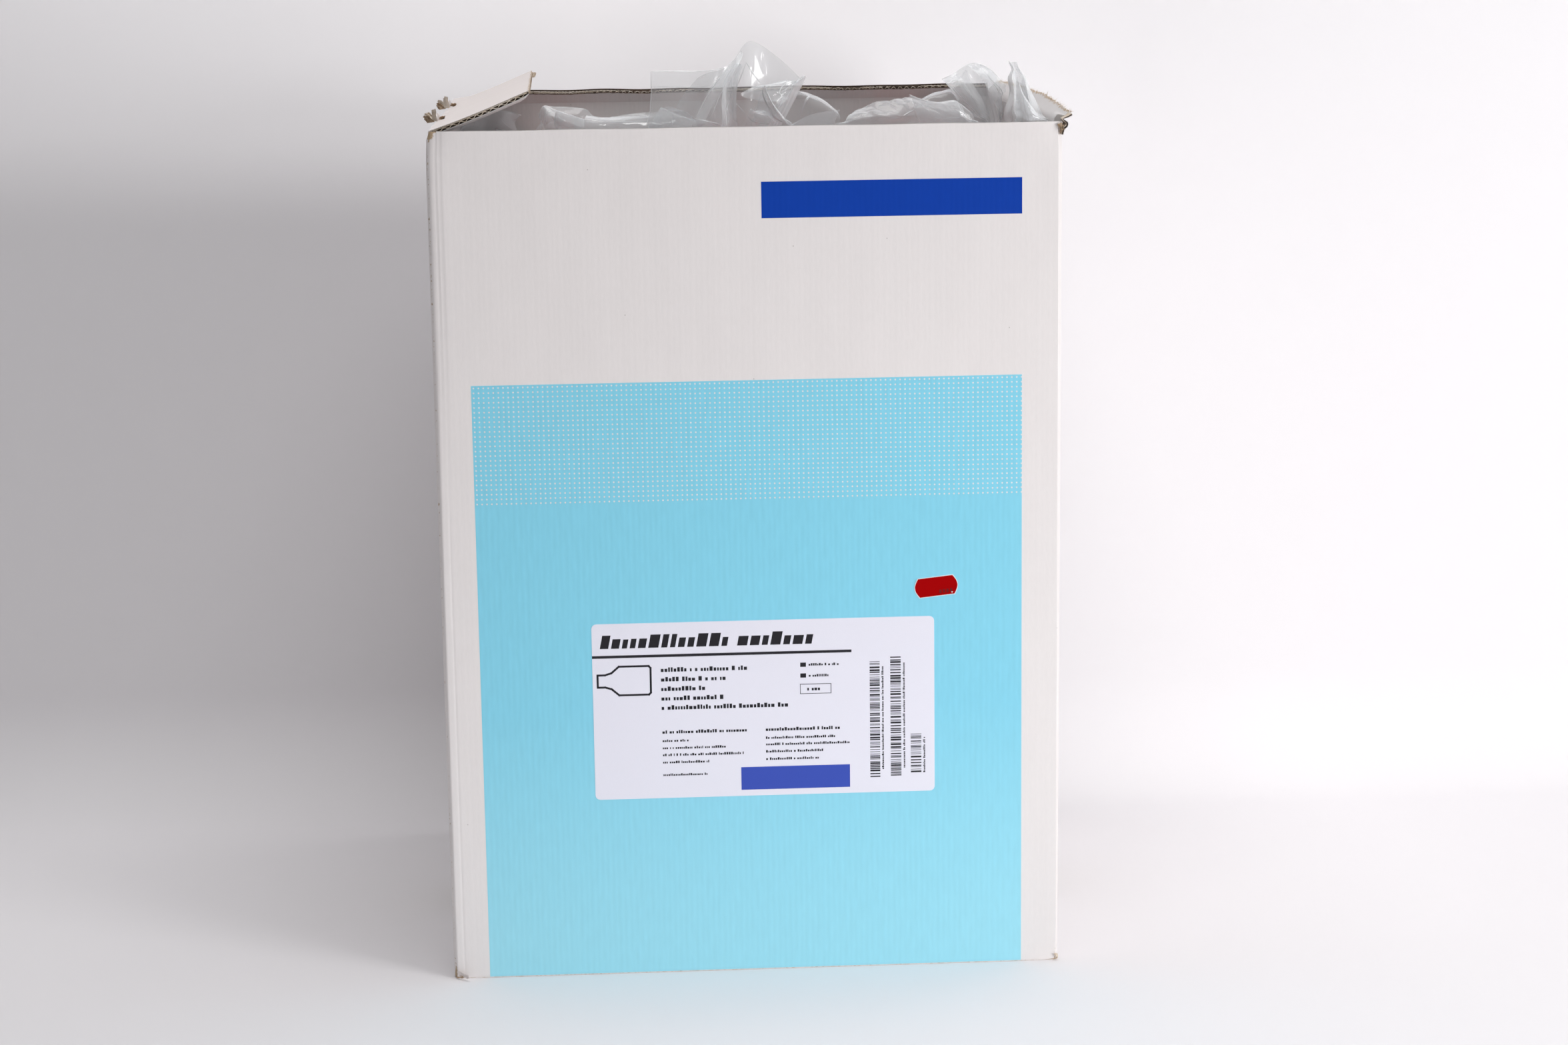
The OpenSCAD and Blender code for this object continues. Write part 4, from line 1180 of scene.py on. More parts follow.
def barCode(x0, x1, y0, y1, seed):
    # Bars of random heights stacked from y0 to y1, each from x0 to x1
    random = np.random.default_rng(seed)
    widths = [0.35, 0.7, 1.05]
    bars = random.choice(widths, 200, p=[0.5, 0.35, 0.15])
    gaps = random.choice(widths, 200)
    ends = np.cumsum(bars + gaps)
    count = int(np.searchsorted(ends, y1 - y0))
    low = y0 + ends[:count] - gaps[:count] - bars[:count]
    return np.stack([np.full(count, x0), np.full(count, x1), low, low + bars[:count]])


# Every printed place on the label, from its top left corner: x0, x1, y (top) and height in mm
boldLines = [(40.4, 93.6, 27.2, 2.7), (40.4, 80.2, 33.0, 2.7), (40.4, 69.5, 38.8, 2.7),
             (40.4, 77.8, 44.6, 2.7), (40.4, 117.9, 50.3, 2.7), (40.6, 92.3, 65.6, 2.0),
             (102, 147, 65.6, 2.0), (127, 137, 41.3, 2.2)]
thinLines = [(40.6, 57, 71.2, 1.5), (40.6, 78.5, 75.6, 1.5), (40.6, 90, 79.9, 1.5), (40.6, 70, 84.4, 1.5),
             (40.6, 67.5, 92.2, 1.4), (102, 145, 71.0, 1.5), (102, 153, 75.0, 1.5), (102, 136.6, 79.4, 1.5),
             (102, 134, 84.0, 1.5), (128, 147, 26.9, 1.5), (128, 143, 33.6, 1.5)]
solidBlocks = [(0, 153.5, 19.2, 1.6), (123, 126.4, 26.4, 2.6), (123, 126.4, 33.0, 2.6),
               (122.7, 141.3, 39.4, 0.35), (122.7, 141.3, 45.2, 0.35), (122.7, 123.05, 39.4, 6.1),
               (140.95, 141.3, 39.4, 6.1)]
sideLines = [(171.2, 172.4, 30, 64), (183.9, 185.1, 28, 66), (195.9, 197.1, 74, 22)]
# A flask lying down, as one plain outline
pictogram = [(15.6, 27.0), (33.2, 27.0), (34.3, 28.2), (34.3, 43.2), (33.2, 44.4), (15.6, 44.4),
             (11.2, 40.6), (7.4, 39.4), (3.0, 39.4), (3.0, 32.0), (7.4, 32.0), (11.2, 30.8), (15.6, 27.0),
             (16.0, 27.0)]
title = greekedLine(4.7, 134, 7.0, 8.0, 199)
blocks = [greekedLine(x0, x1, y, high, 200 + n) for n, (x0, x1, y, high) in enumerate(boldLines + thinLines)]
codes = [(164.2, 170.2, 26.8, 98.3), (176.5, 182.8, 24.2, 98.5), (188.5, 194.8, 71.8, 98.0)]
blocks += [barCode(*place, 301 + n) for n, place in enumerate(codes)]
blocks.append(np.array([(x0, x1, y, y + high) for x0, x1, y, high in solidBlocks]).T)
for n, (x0, x1, y, long) in enumerate(sideLines):
    turned = greekedLine(y, y + long, x0, x1 - x0, 320 + n)
    blocks.append(turned[[2, 3, 0, 1]])
blocks = np.concatenate(blocks, 1)
left, top = labelLow[0], labelHigh[2]
inkTop = label["lift"] + label["inkLift"]
cornerRows = np.array([0, 0.25, 0.7, 1.4, 2.2, 3.0])
labelRows = np.concatenate([labelLow[2] + cornerRows, np.linspace(labelLow[2] + 8, labelHigh[2] - 8, 14),
                            labelHigh[2] - cornerRows[::-1]])


def onLabel(marks, material, slant=0.0):
    # Printed blocks whose places (x0, x1, top, foot) are measured from the label's top left corner
    x0, x1, high, low = marks
    return inkBlocks(left + x0, left + x1, top - low, top - high, inkTop, material, slant)


parts = [
    frontPanel(labelLow[0], labelHigh[0], labelRows, label["lift"], labelPaper, corner=label["corner"]),
    onLabel(blocks, blackInk),
    onLabel(title, blackInk, slant=0.2),
    inkStroke([(left + x, top - y + 1.0) for x, y in pictogram], 1.2, inkTop, blackInk),
    onLabel((87, 152, 89.5, 103.5), labelBlue),
]
makePiece("case_label_dressed", "carton", parts, replaced=["case_label"])

sticker = {"width": 26.0, "height": 12.0, "bulge": 2.4, "tilt": math.radians(6), "rim": 0.35, "lift": 0.24}
stickerMiddle = (stickerLow + stickerHigh) / 2


def stickerSheet(inset, lift, under, material):
    # A rectangle whose short ends swell outwards in a cosine wave
    v = np.linspace(-1, 1, 17)[None, :]
    u = np.linspace(-1, 1, 14)[:, None]
    half = sticker["width"] / 2 - sticker["bulge"] * (1 - np.cos(v * math.pi / 2)) - inset
    x, z = u * half, v * (sticker["height"] / 2 - inset) + 0 * u
    turn = sticker["tilt"]
    x, z = x * math.cos(turn) - z * math.sin(turn), x * math.sin(turn) + z * math.cos(turn)
    x, z = x + stickerMiddle[0], z + stickerMiddle[2]
    curl = 0.25 * smooth(0.86, 1.0, np.abs(u)) * (0.4 + 0.6 * smooth(0, 1, -v * np.sign(u)))
    return thinSolid(frontPoint(x, z, lift + curl), frontPoint(x, z, under + curl), material)


def stickerMarks(marks, lift, material):
    # Small flat blocks on the sticker, in its own turned axes: x0, x1, z0, z1
    parts = np.array(marks, float).T
    turn = sticker["tilt"]
    middleX, middleZ = (parts[0] + parts[1]) / 2, (parts[2] + parts[3]) / 2
    x = stickerMiddle[0] + middleX * math.cos(turn) - middleZ * math.sin(turn)
    z = stickerMiddle[2] + middleX * math.sin(turn) + middleZ * math.cos(turn)
    wide, high = (parts[1] - parts[0]) / 2, (parts[3] - parts[2]) / 2
    return inkBlocks(x - wide, x + wide, z - high, z + high, lift, material)


parts = [
    stickerSheet(0.0, sticker["lift"] - 0.05, 0.02, stickerEdge),
    stickerSheet(sticker["rim"], sticker["lift"], sticker["lift"] - 0.06, stickerRed),
    stickerMarks([(1.5 + 2.1 * n, 2.9 + 2.1 * n, -4.4, -2.2) for n in range(4)], sticker["lift"] + 0.01,
                 stickerInk),
    stickerMarks([(8.6, 10.4, -4.9, -4.3)], sticker["lift"] + 0.02, stickerEdge),
]
makePiece("price_sticker_dressed", "carton", parts, replaced=["price_sticker"])
print("print, label and sticker made")


# Crystal polystyrene, blow moulded: clear and glossy with a faint blue cast where walls stack up
styrene, add = newMaterial("clear polystyrene")
shader = add("BsdfPrincipled", {"Base Color": hexToLinear("#eef3f6"), "Roughness": 0.08, "IOR": 1.59,
                                "Alpha": 0.3})
add("OutputMaterial", {"Surface": shader})
capMaterial = plainMaterial("moulded polyethylene cap", "#c8442e", 0.38)
ventMaterial = plainMaterial("vent membrane", "#f2f1ec", 0.8)
innerFilm = filmMaterial("clear inner bag film", 0.2, 0.6)
contents = {"flasks": styrene, "caps": capMaterial, "vents": ventMaterial, "film": innerFilm}
for name, node in frame["nodes"].items():
    kind = name.rsplit("_", 1)[-1]
    if kind in contents and name.count("_") == 3:
        node.data.materials.clear()
        node.data.materials.append(contents[kind])
print("contents dressed")

filmBags = {
    "seam": 3.5,            # mm, rounding of the filled bag's edges
    "corner": 7.0,
    "roof": 2.6,            # mm, how far the roof clears the caps
    "pleats": 11,
    "shoulder": 8.0,        # mm, how far the roof's rim lies under its middle
    "pleatRise": 4.5,
    "roofCreases": 2.2,
    "neck": 9.0,            # mm, rise of the gathered middle
    "drawnIn": 0.955,       # share of the bag's width that the neck takes up
    "sideWave": 0.5,        # mm, swell of the sides between the creases
    "sideCreases": 0.4,
    "around": 168,          # points round a bag
    "sheetThickness": 0.12,
    "spacing": 1.3,         # mm between grid points of a sheet
    "foldProud": 0.22,      # mm, how far a pressed crease stands off its sheet
    "foldPoints": 30,
    "footDrop": -31.0,      # mm, the level from the rim where a sheet leaves the roof,
    "footShare": 0.45,      # and how far its foot lies from the neck, as a share of its first row's distance
}
bodyFilm = filmMaterial("clear bag film", 0.13, 0.6)
foldedFilm = filmMaterial("clear bag film, several layers together", 0.24, 0.75)
# A whiter, more opaque copy of the film for the panel in the flap's shade: painted light
whitenedFilm = filmMaterial("clear bag film, whitened as painted light", 0.5, 0.85)
pressedFilm = filmMaterial("clear bag film, pressed into a crease", 0.6, 0.9, mirror=0.16)

# Where each bag's neck is gathered (x, y), and its loose sheets: the creases' height and spacing in mm, the
# film, then rows of control points from the foot up, each (x, y, height above the rim)
gathers = {
    "upper_front_middle": (-12, -70), "upper_rear_middle": (38, 82), "upper_front_left": (-92, -80),
    "upper_rear_left": (-150, 120), "upper_front_right": (128, -92), "upper_rear_right": (150, 74),
}
filmSheets = {
    "upper_front_middle": [
        (0.5, 40, bodyFilm, [  # the tall flat panel and its peak
            [(-53, -73, -7), (-40, -74, -7.5), (-26, -72, -7.5), (-15, -76, -7.5), (-5, -70, -8),
             (4, -74, -8), (13, -70, -8.5), (22, -73, -8.5)],
            [(-53, -73, 6), (-40, -74, 5.5), (-26, -72, 5.5), (-15, -76, 6), (-6, -69, 6.5),
             (5, -75, 7.5), (15, -70, 7), (24, -75, 6)],
            [(-52, -73, 17), (-40, -73, 17), (-26, -72, 16.5), (-16, -75, 17.5), (-6, -69, 17.5),
             (5, -75, 17), (18, -69, 16.5), (32, -71, 12.5)],
            [(-52, -73, 28.5), (-40, -73, 28.5), (-26, -72, 28), (-14, -74, 29), (-4, -70, 32.5),
             (7, -73, 45.5), (23, -70, 36.5), (40, -70, 20.5)],
        ]),
        (0.3, 50, bodyFilm, [  # second layer behind it
            [(-40, -59, -8.5), (-30, -57, -8.5), (-18, -61, -8.5), (-5, -59, -9)],
            [(-36, -59, 8), (-27, -57, 9.5), (-16, -61, 9.5), (-4, -60, 9)],
            [(-26, -61, 21), (-21, -60, 22.5), (-13, -62, 22.5), (-3, -61, 21.5)],
            [(-21, -62, 25), (-16, -61, 27), (-11, -63, 28), (-6, -63, 30)],
        ]),
        (0.3, 30, foldedFilm, [  # narrow pleat rising to the peak
            [(-28, -82, -6), (-22, -83, -6)],
            [(-26, -82, 1), (-20, -83, 0)],
            [(-22, -82, 9.5), (-16, -83, 8)],
            [(-17, -82, 18.5), (-10, -83, 17)],
            [(-11, -81, 25.5), (-5, -82, 25)],
            [(-4, -78, 33.5), (0, -80, 31.5)],
            [(2, -75, 40), (3, -76, 38)],
        ]),
        (0.5, 22, foldedFilm, [  # gathers below the peak
            [(-11, -85, -7), (-7, -81, -7.5), (-2, -85, -7)],
            [(-10, -86, 2), (-6, -81, 2.5), (-2, -86, 1)],
            [(-10, -85, 11.5), (-6, -80, 12), (-2, -85, 10.5)],
            [(-8, -82, 22.5), (-5, -78, 22), (-1, -83, 21.5)],
            [(-2, -78, 32.5), (1, -76, 32.5), (2, -79, 31)],
        ]),
        (0.5, 26, foldedFilm, [  # the corner folded back down
            [(39, -71, 20.5), (33, -76, 16), (28, -80, 10.5), (23, -83, 6.5)],
            [(35, -76, 21.5), (27, -81, 17), (21, -84, 14), (15, -86, 10)],
            [(30, -79, 21.5), (21, -83, 19), (12, -85, 17.5), (3, -86, 13)],
            [(29, -78, 22.5), (19, -81, 20), (10, -83, 19), (1, -84, 15)],
        ]),
        (0.25, 30, foldedFilm, [  # turned corner in front
            [(13, -90, 16.5), (14, -91, 11.5), (17, -92, 5.5), (20, -93, 0.5), (29, -93, -4.5)],
            [(16, -95, 16.5), (18, -96, 11.5), (21, -97, 6.5), (24, -97, 2), (29, -95, -4)],
            [(18, -91, 13.5), (20, -92, 9), (24, -93, 4), (27, -94, 0), (29, -93, -4)],
        ]),
        (0.2, 30, foldedFilm, [  # bright low fold under the narrow pleat
            [(-26, -88, -2), (-20, -90, -3.5), (-16, -88, -4), (-12, -88, -4.5)],
            [(-27, -88, 0.5), (-23, -90, 1), (-18, -89, -0.5), (-13, -88, -3)],
        ]),
        (0.3, 26, bodyFilm, [  # small hollow beside it
            [(5, -93, 4), (9, -95, 1), (13, -95, 0), (18, -94, -1)],
            [(8, -91, 5), (12, -93, 3.5), (16, -93, 2), (20, -93, -0.5)],
            [(14, -88, 6), (17, -90, 4), (19, -91, 1.5), (22, -91, -2.5)],
        ]),
    ],
    "upper_rear_middle": [
        (0.7, 45, bodyFilm, [  # low dome
            [(28, 60, -5), (33, 60, 3), (42, 60, 5), (51, 60, 0), (60, 60, -5.5), (70, 60, -12.5)],
            [(32, 66, 0), (37, 68, 5.5), (44, 70, 8), (52, 70, 6.5), (60, 68, 3), (70, 66, -5)],
            [(33, 90, -3.5), (39, 92, 2.5), (46, 94, 4.5), (54, 94, 3), (62, 92, -0.5), (72, 90, -8.5)],
        ]),
    ],
    "upper_front_left": [
        (0.7, 50, bodyFilm, [  # long low billow
            [(-134, -77, -11), (-123, -77, -11), (-108, -79, -11), (-95, -77, -11.5),
             (-82, -77, -12), (-46, -66, -12)],
            [(-130.5, -73, -7.5), (-121.5, -77, -7.5), (-111, -81, -2.5), (-98, -79, -3), (-83, -76, -4),
             (-46, -65, -5.5)],
            [(-119.5, -73, -7), (-117, -75, 3.5), (-113, -78, 5), (-97, -77, 3.5), (-83, -73, 1),
             (-46, -64, -0.5)],
            [(-119, -71, -7), (-117, -73, 8.5), (-110, -73, 9), (-92, -72, 7), (-82, -70, 2),
             (-46, -64, 3.5)],
        ]),
        (0.5, 30, bodyFilm, [  # open loop in front of it
            [(-118, -87, 1.5), (-115, -89, 7.5), (-107, -89, 4.5), (-99, -88, 2), (-92, -87, -0.5)],
            [(-117, -93, 0), (-114, -95, 5.5), (-107, -96, 2.5), (-100, -93, 0.5), (-93, -91, -1.5)],
            [(-116, -91, -1), (-111, -93, 1.5), (-107, -94, -1), (-101, -92, -2), (-95, -90, -3)],
        ]),
        (0.4, 30, bodyFilm, [  # inner loop
            [(-109, -95, -2.5), (-108, -97, 5.5), (-101, -98, 3.5), (-92, -96, 0)],
            [(-108, -99, -5), (-105, -101, 2), (-99, -101, -0.5), (-92, -99, -2.5)],
        ]),
        (0.3, 30, foldedFilm, [  # loose corner turned over behind the tall panel
            [(-48, -62, 4), (-42, -62, 0), (-35, -63, -2.5), (-28, -63, -4)],
            [(-47, -60, 5), (-40, -58, 3.5), (-33, -60, 1), (-26, -61, -2.5)],
            [(-42, -61, 7), (-35, -61, 4.5), (-30, -61, 2.5), (-25, -61, -1.5)],
        ]),
        (0.5, 34, bodyFilm, [  # loose end
            [(-92, -91, -0.5), (-80, -88, -2), (-66, -78, -3), (-40, -66, -5)],
            [(-91, -83, 4), (-80, -80, 2.5), (-66, -72, 3.5), (-40, -64, 5)],
        ]),
    ],
    "upper_rear_left": [
        (0.4, 60, whitenedFilm, [  # straight cut panel under the flap
            [(-175, 138, -24.5), (-175, 138, -24.5), (-162, 138, -25), (-148, 138, -25), (-135, 138, -25.5)],
            [(-175, 138, -19), (-175, 136, -16), (-161, 138, -14.5), (-150, 136, -14.5), (-139, 138, -17.5)],
            [(-175, 138, -18), (-174, 137, -12.5), (-159.5, 138, -7), (-146, 137, -7), (-140, 138, -13)],
            [(-175, 138, -16), (-169, 138, -9.5), (-157.5, 138, -5.5), (-145.5, 138, -5.5),
             (-136, 138, -8.5)],
        ]),
    ],
    "upper_front_right": [
        (0.6, 40, foldedFilm, [  # near end of the billow
            [(26, -81, -9), (34, -83, -9), (43, -81, -9), (60, -81, -8.5)],
            [(29, -81, -4.5), (37, -83, -0.5), (46, -81, 2.5), (60, -81, 4.5)],
        ]),
        (1.3, 24, foldedFilm, [  # long billow
            [(60, -79, -6.5), (79, -79, -6.5), (93, -81, -6.5), (108, -79, -7), (122, -81, -7),
             (135, -79, -7), (145, -79, -7.5)],
            [(63, -77, -2), (79, -81, 0), (93, -83, 0), (106, -79, 1), (120, -83, -0.5),
             (132, -81, -0.5), (140, -79, -5)],
            [(66, -73, 1.5), (79, -77, 4), (93, -79, 5.5), (105, -75, 8), (119, -81, 4),
             (130, -79, 4), (138, -77, -2.5)],
            [(70, -69, 4), (80, -71, 8), (92, -73, 10), (103, -69, 11), (118, -75, 8),
             (130, -73, 9), (135, -73, 5)],
        ]),
        (0.4, 40, foldedFilm, [  # pale fold along it
            [(103, -85, 10), (110, -87, 7), (121, -89, 4.5), (130, -89, 4.5), (140, -87, -2.5)],
            [(102, -81, 11.5), (109, -83, 9.5), (118, -85, 8.5), (128, -85, 9.5), (135, -85, 5)],
        ]),
        (0.5, 24, foldedFilm, [  # gathered neck fanning out
            [(151, -132, -3.5), (156, -140, -3), (163, -134, -3.5), (168, -142, -3), (176, -134, -4)],
            [(152, -132, 4), (156, -142, 6.5), (163, -134, 6), (166, -144, 6.5), (174, -136, 4)],
            [(155, -132, 15.5), (157, -140, 16), (161, -134, 18), (164, -142, 17.5), (168, -136, 16.5)],
            [(154, -132, 24.5), (156, -138, 25), (160, -134, 24), (163, -138, 24), (165, -136, 23.5)],
            [(156, -134, 29), (157, -137, 29.5), (158, -135, 29.5), (160, -137, 29.5), (161, -136, 29)],
            [(154, -135, 33.5), (155, -136, 33.5), (157, -135, 33.5), (158, -136, 33.5), (159, -136, 33.5)],
        ]),
        (0.4, 24, foldedFilm, [  # front pleats of the neck
            [(156, -148, -2.5), (164, -152, -2.5), (175, -148, -3)],
            [(156, -150, 7), (163, -154, 8.5), (171, -149, 2.5)],
            [(157, -148, 14), (160, -152, 16.5), (163, -148, 13.5)],
            [(158, -144, 21), (159, -146, 22), (160, -144, 20.5)],
        ]),
    ],
    "upper_rear_right": [
        (0.5, 45, bodyFilm, [  # dome behind
            [(119, 70, -6.5), (126, 66, -3.5), (134, 66, -2), (142, 66, -1), (150, 70, -4)],
            [(125, 76, 1.5), (131, 74, 4.5), (138, 74, 6.5), (145, 76, 7), (149, 78, 2)],
            [(127, 96, -2), (133, 96, 1), (141, 96, 3.5), (147, 96, 4), (151, 96, -1.5)],
        ]),
        (0.6, 30, foldedFilm, [  # leaning folded neck
            [(158, 74, -16.5), (164, 70, -16.5), (170, 76, -17), (174, 70, -16.5), (176, 74, -17)],
            [(154, 74, -5.5), (160, 68, -4), (168, 78, -3), (173, 72, -3), (176, 76, -3)],
            [(146, 74, 3.5), (152, 68, 7), (162, 80, 8.5), (171, 72, 8.5), (180, 76, 4.5)],
            [(141, 74, 10.5), (148, 69, 13), (158, 80, 16), (169, 72, 14), (180, 76, 7.5)],
            [(138, 74, 14), (145, 72, 17.5), (158, 78, 23.5), (169, 74, 20), (180, 76, 9)],
        ]),
        (0.3, 40, foldedFilm, [  # its pale left band
            [(162, 60, -13.5), (168, 62, -14)],
            [(155, 58, -8), (164, 60, -6.5)],
            [(146, 56, 1.5), (157, 58, 3)],
            [(142, 58, 8.5), (151, 60, 12.5)],
            [(137, 64, 14.5), (148, 66, 17.5)],
        ]),
        (0.4, 26, foldedFilm, [  # its right pleats
            [(176, 64, -12.5), (176, 66, -10.5)],
            [(172, 60, -3.5), (176, 64, 0.5)],
            [(167, 58, 6.5), (174, 62, 10.5)],
            [(161, 60, 16.5), (170, 64, 19)],
            [(154, 66, 23), (161, 68, 24)],
        ]),
    ],
}

# Creases pressed into the sheets. Each: the sheet's number, width in mm, and its path over the sheet in
# tenths of the width and of the height
pressedFolds = {
    "upper_front_middle": [
        (0, 0.4, [(0, 10), (5, 10)]), (0, 0.4, [(0, 10), (0, 3)]), (0, 0.4, [(0, 8), (4, 8)]),
        (0, 0.6, [(6, 6), (7, 4)]), (0, 0.5, [(7, 9), (6, 7)]), (0, 0.8, [(7, 9), (8, 8)]),
        (0, 0.5, [(6, 9), (4, 4)]), (2, 0.7, [(2, 7), (0, 3)]), (3, 0.5, [(6, 6), (0, 3)]),
        (4, 0.8, [(7, 9), (3, 9), (0, 7), (1, 2)]), (4, 0.8, [(1, 7), (9, 3)]), (4, 0.6, [(1, 5), (7, 2)]),
        (5, 1.2, [(0, 3.5), (10, 3.5)]), (5, 0.7, [(2, 4), (2, 9), (6, 6), (10, 6)]),
        (7, 1.0, [(0, 3), (10, 3)]), (7, 0.5, [(0, 3), (0, 10)]),
    ],
    "upper_rear_middle": [(0, 1.6, [(6, 5), (5, 2)]), (0, 0.5, [(5, 4), (7, 7), (10, 6)])],
    "upper_front_left": [
        (0, 0.5, [(2, 9), (7, 10), (8, 7), (10, 9)]), (0, 0.5, [(4, 6), (5, 7), (8, 6)]),
        (0, 0.5, [(4, 5), (5, 4)]), (0, 0.9, [(5, 7), (6, 7)]), (0, 0.5, [(7, 6), (10, 7)]),
        (1, 0.6, [(0, 10), (2, 7), (5, 5)]),
    ],
    "upper_rear_left": [
        (0, 0.8, [(6, 7), (10, 4)]), (0, 0.5, [(8, 10), (10, 10), (9, 6)]), (0, 0.5, [(4, 7), (4, 4)]),
    ],
    "upper_front_right": [
        (1, 0.6, [(3, 9), (5, 9), (5, 7), (7, 9), (8, 8), (10, 8)]), (1, 0.7, [(4, 5), (5, 6)]),
        (1, 0.6, [(5, 9), (6, 6)]), (1, 0.5, [(7, 4), (9, 4)]), (1, 0.5, [(3, 6), (4, 5)]),
        (3, 0.6, [(3, 7), (8, 4), (8, 2)]), (3, 0.5, [(1, 7), (0, 4)]), (3, 0.5, [(5, 7), (3, 3)]),
        (3, 0.5, [(6, 6), (7, 5), (6, 3)]), (3, 1.0, [(10, 5), (9, 2)]),
        (3, 0.5, [(10, 10), (8, 7), (9, 5)]),
    ],
    "upper_rear_right": [
        (0, 0.5, [(0, 6), (7, 9)]), (1, 0.6, [(6, 10), (10, 5)]), (1, 0.5, [(7, 9), (10, 5)]),
        (1, 0.5, [(5, 10), (9, 10)]), (2, 0.5, [(0, 10), (4, 5), (4, 3), (8, 2)]),
        (2, 0.4, [(0, 9), (9, 9)]), (2, 0.4, [(8, 8), (10, 4)]), (3, 0.5, [(5, 7), (10, 4)]),
    ],
}


def roundedRectangle(halfX, halfY, radius, count):
    # Evenly spaced points round a rectangle with quarter-round corners
    angle = np.linspace(0, math.pi / 2, 9)
    arcs = []
    for n, (sx, sy) in enumerate([(1, 1), (-1, 1), (-1, -1), (1, -1)]):
        turn = n * math.pi / 2 + angle
        x, y = sx * (halfX - radius) + radius * np.cos(turn), sy * (halfY - radius) + radius * np.sin(turn)
        arcs.append(np.stack([x, y], -1))
    loop = np.concatenate(arcs + [arcs[0][:1]])
    length = np.concatenate([[0], np.cumsum(np.hypot(*np.diff(loop, axis=0).T))])
    s = np.linspace(0, length[-1], count, endpoint=False)
    return np.stack([np.interp(s, length, loop[:, k]) for k in (0, 1)], -1)


def ridged(seed, length):
    # Sharp-crested random relief, 0 to 1: one less the size of smooth waves, so each zero line is a crease
    waves = [randomWaves(seed + n, length / (1 + 0.7 * n)) for n in range(2)]

    def height(x, y):
        first, second = (np.abs(wave(x, y)) for wave in waves)
        return 1 - np.minimum(1, 1.6 * first) ** 0.7 * (0.6 + 0.4 * second)

    return height


def bagBody(name, seed):
    # A filled bag as rings from its floor up the sides, then drawn in pleats over the caps to the neck
    low, high = boxOf(name.replace("upper", "lower") + "_film")
    flaskTop = boxOf(name + "_caps")[1][2]
    middle, half = (low + high) / 2, (high - low) / 2
    floor, roof = high[2] + 0.25, flaskTop + filmBags["roof"]
    gather = np.array(gathers[name])
    ring = roundedRectangle(half[0] - 0.4, half[1] - 0.4, filmBags["corner"], filmBags["around"])
    angle = np.arctan2(ring[:, 1], ring[:, 0])
    wave, crumple = randomWaves(seed, 60), ridged(seed + 3, 34)
    rings = []
    seam = filmBags["seam"]
    for share in (0.0, 0.3, 0.6, 1.0):  # the floor's edge
        inset = seam * (1 - math.sin(share * math.pi / 2))
        z = np.full(len(ring), floor + seam * (1 - math.cos(share * math.pi / 2)))
        rings.append(np.column_stack([ring * (1 - inset / half[:2]) + middle[:2], z]))
    for z in np.linspace(floor + 8, roof - 9, 20):
        creases = crumple(angle * 62, z * 0.5)
        push = filmBags["sideWave"] * wave(angle * 55, z) - filmBags["sideCreases"] * creases
        plan = ring * (1 + (push - 0.5)[:, None] / half[:2]) + middle[:2]
        rings.append(np.column_stack([plan, np.full(len(ring), z)]))
    for share in np.linspace(0, 1, 22):  # the roof, from the shoulder in to the neck
        size = 1 - filmBags["drawnIn"] * share ** 1.15
        centre = middle[:2] + (gather - middle[:2]) * share ** 1.3
        pleat = np.abs(np.sin(filmBags["pleats"] * angle / 2 + 1.7 * share + seed)) ** 0.7
        swell = 4 * share * (1 - share) * (0.5 + 0.5 * wave(angle * 40, 9))
        rise = filmBags["shoulder"] * (smooth(0, 0.22, share) - 1) + filmBags["pleatRise"] * pleat * swell
        creases = crumple(ring[:, 0] * size, ring[:, 1] * size) * smooth(0.1, 0.3, share)
        z = roof + rise + filmBags["roofCreases"] * creases + filmBags["neck"] * smooth(0.86, 1.0, share)
        rings.append(np.column_stack([ring * size * (1 - 0.006 * (1 - share)) + centre, z]))
    return sweptSolid(np.stack(rings), bodyFilm)


def sheetSurface(crumple, length, net, gather, seed):
    # A loose sheet's middle surface and normals: smooth through its control points, creased along the normals
    net = np.array(net, float)
    foot = net[0].copy()
    foot[:, :2] = np.array(gather) + (foot[:, :2] - np.array(gather)) * filmBags["footShare"]
    foot[:, 2] = filmBags["footDrop"]
    net = np.concatenate([foot[None], net])
    tall = np.linalg.norm(np.diff(net, axis=0), axis=2).sum(0).max()
    wide = np.linalg.norm(np.diff(net, axis=1), axis=2).sum(1).max()
    grid = curveThrough(net, int(tall / filmBags["spacing"]) + 4)
    grid = curveThrough(grid.swapaxes(0, 1), int(wide / filmBags["spacing"]) + 4).swapaxes(0, 1)
    grid[..., 2] += rim
    normal = np.cross(np.gradient(grid, axis=0), np.gradient(grid, axis=1))
    normal /= np.linalg.norm(normal, axis=-1)[..., None] + 1e-9
    v = np.linspace(0, tall, grid.shape[0])[:, None]
    u = np.linspace(0, wide, grid.shape[1])[None, :]
    relief = crumple * ridged(seed, length)(u, 0.45 * v)
    relief = relief + 0.28 * crumple * ridged(seed + 7, length / 3)(u, 0.5 * v)
    return grid + normal * relief[..., None], normal


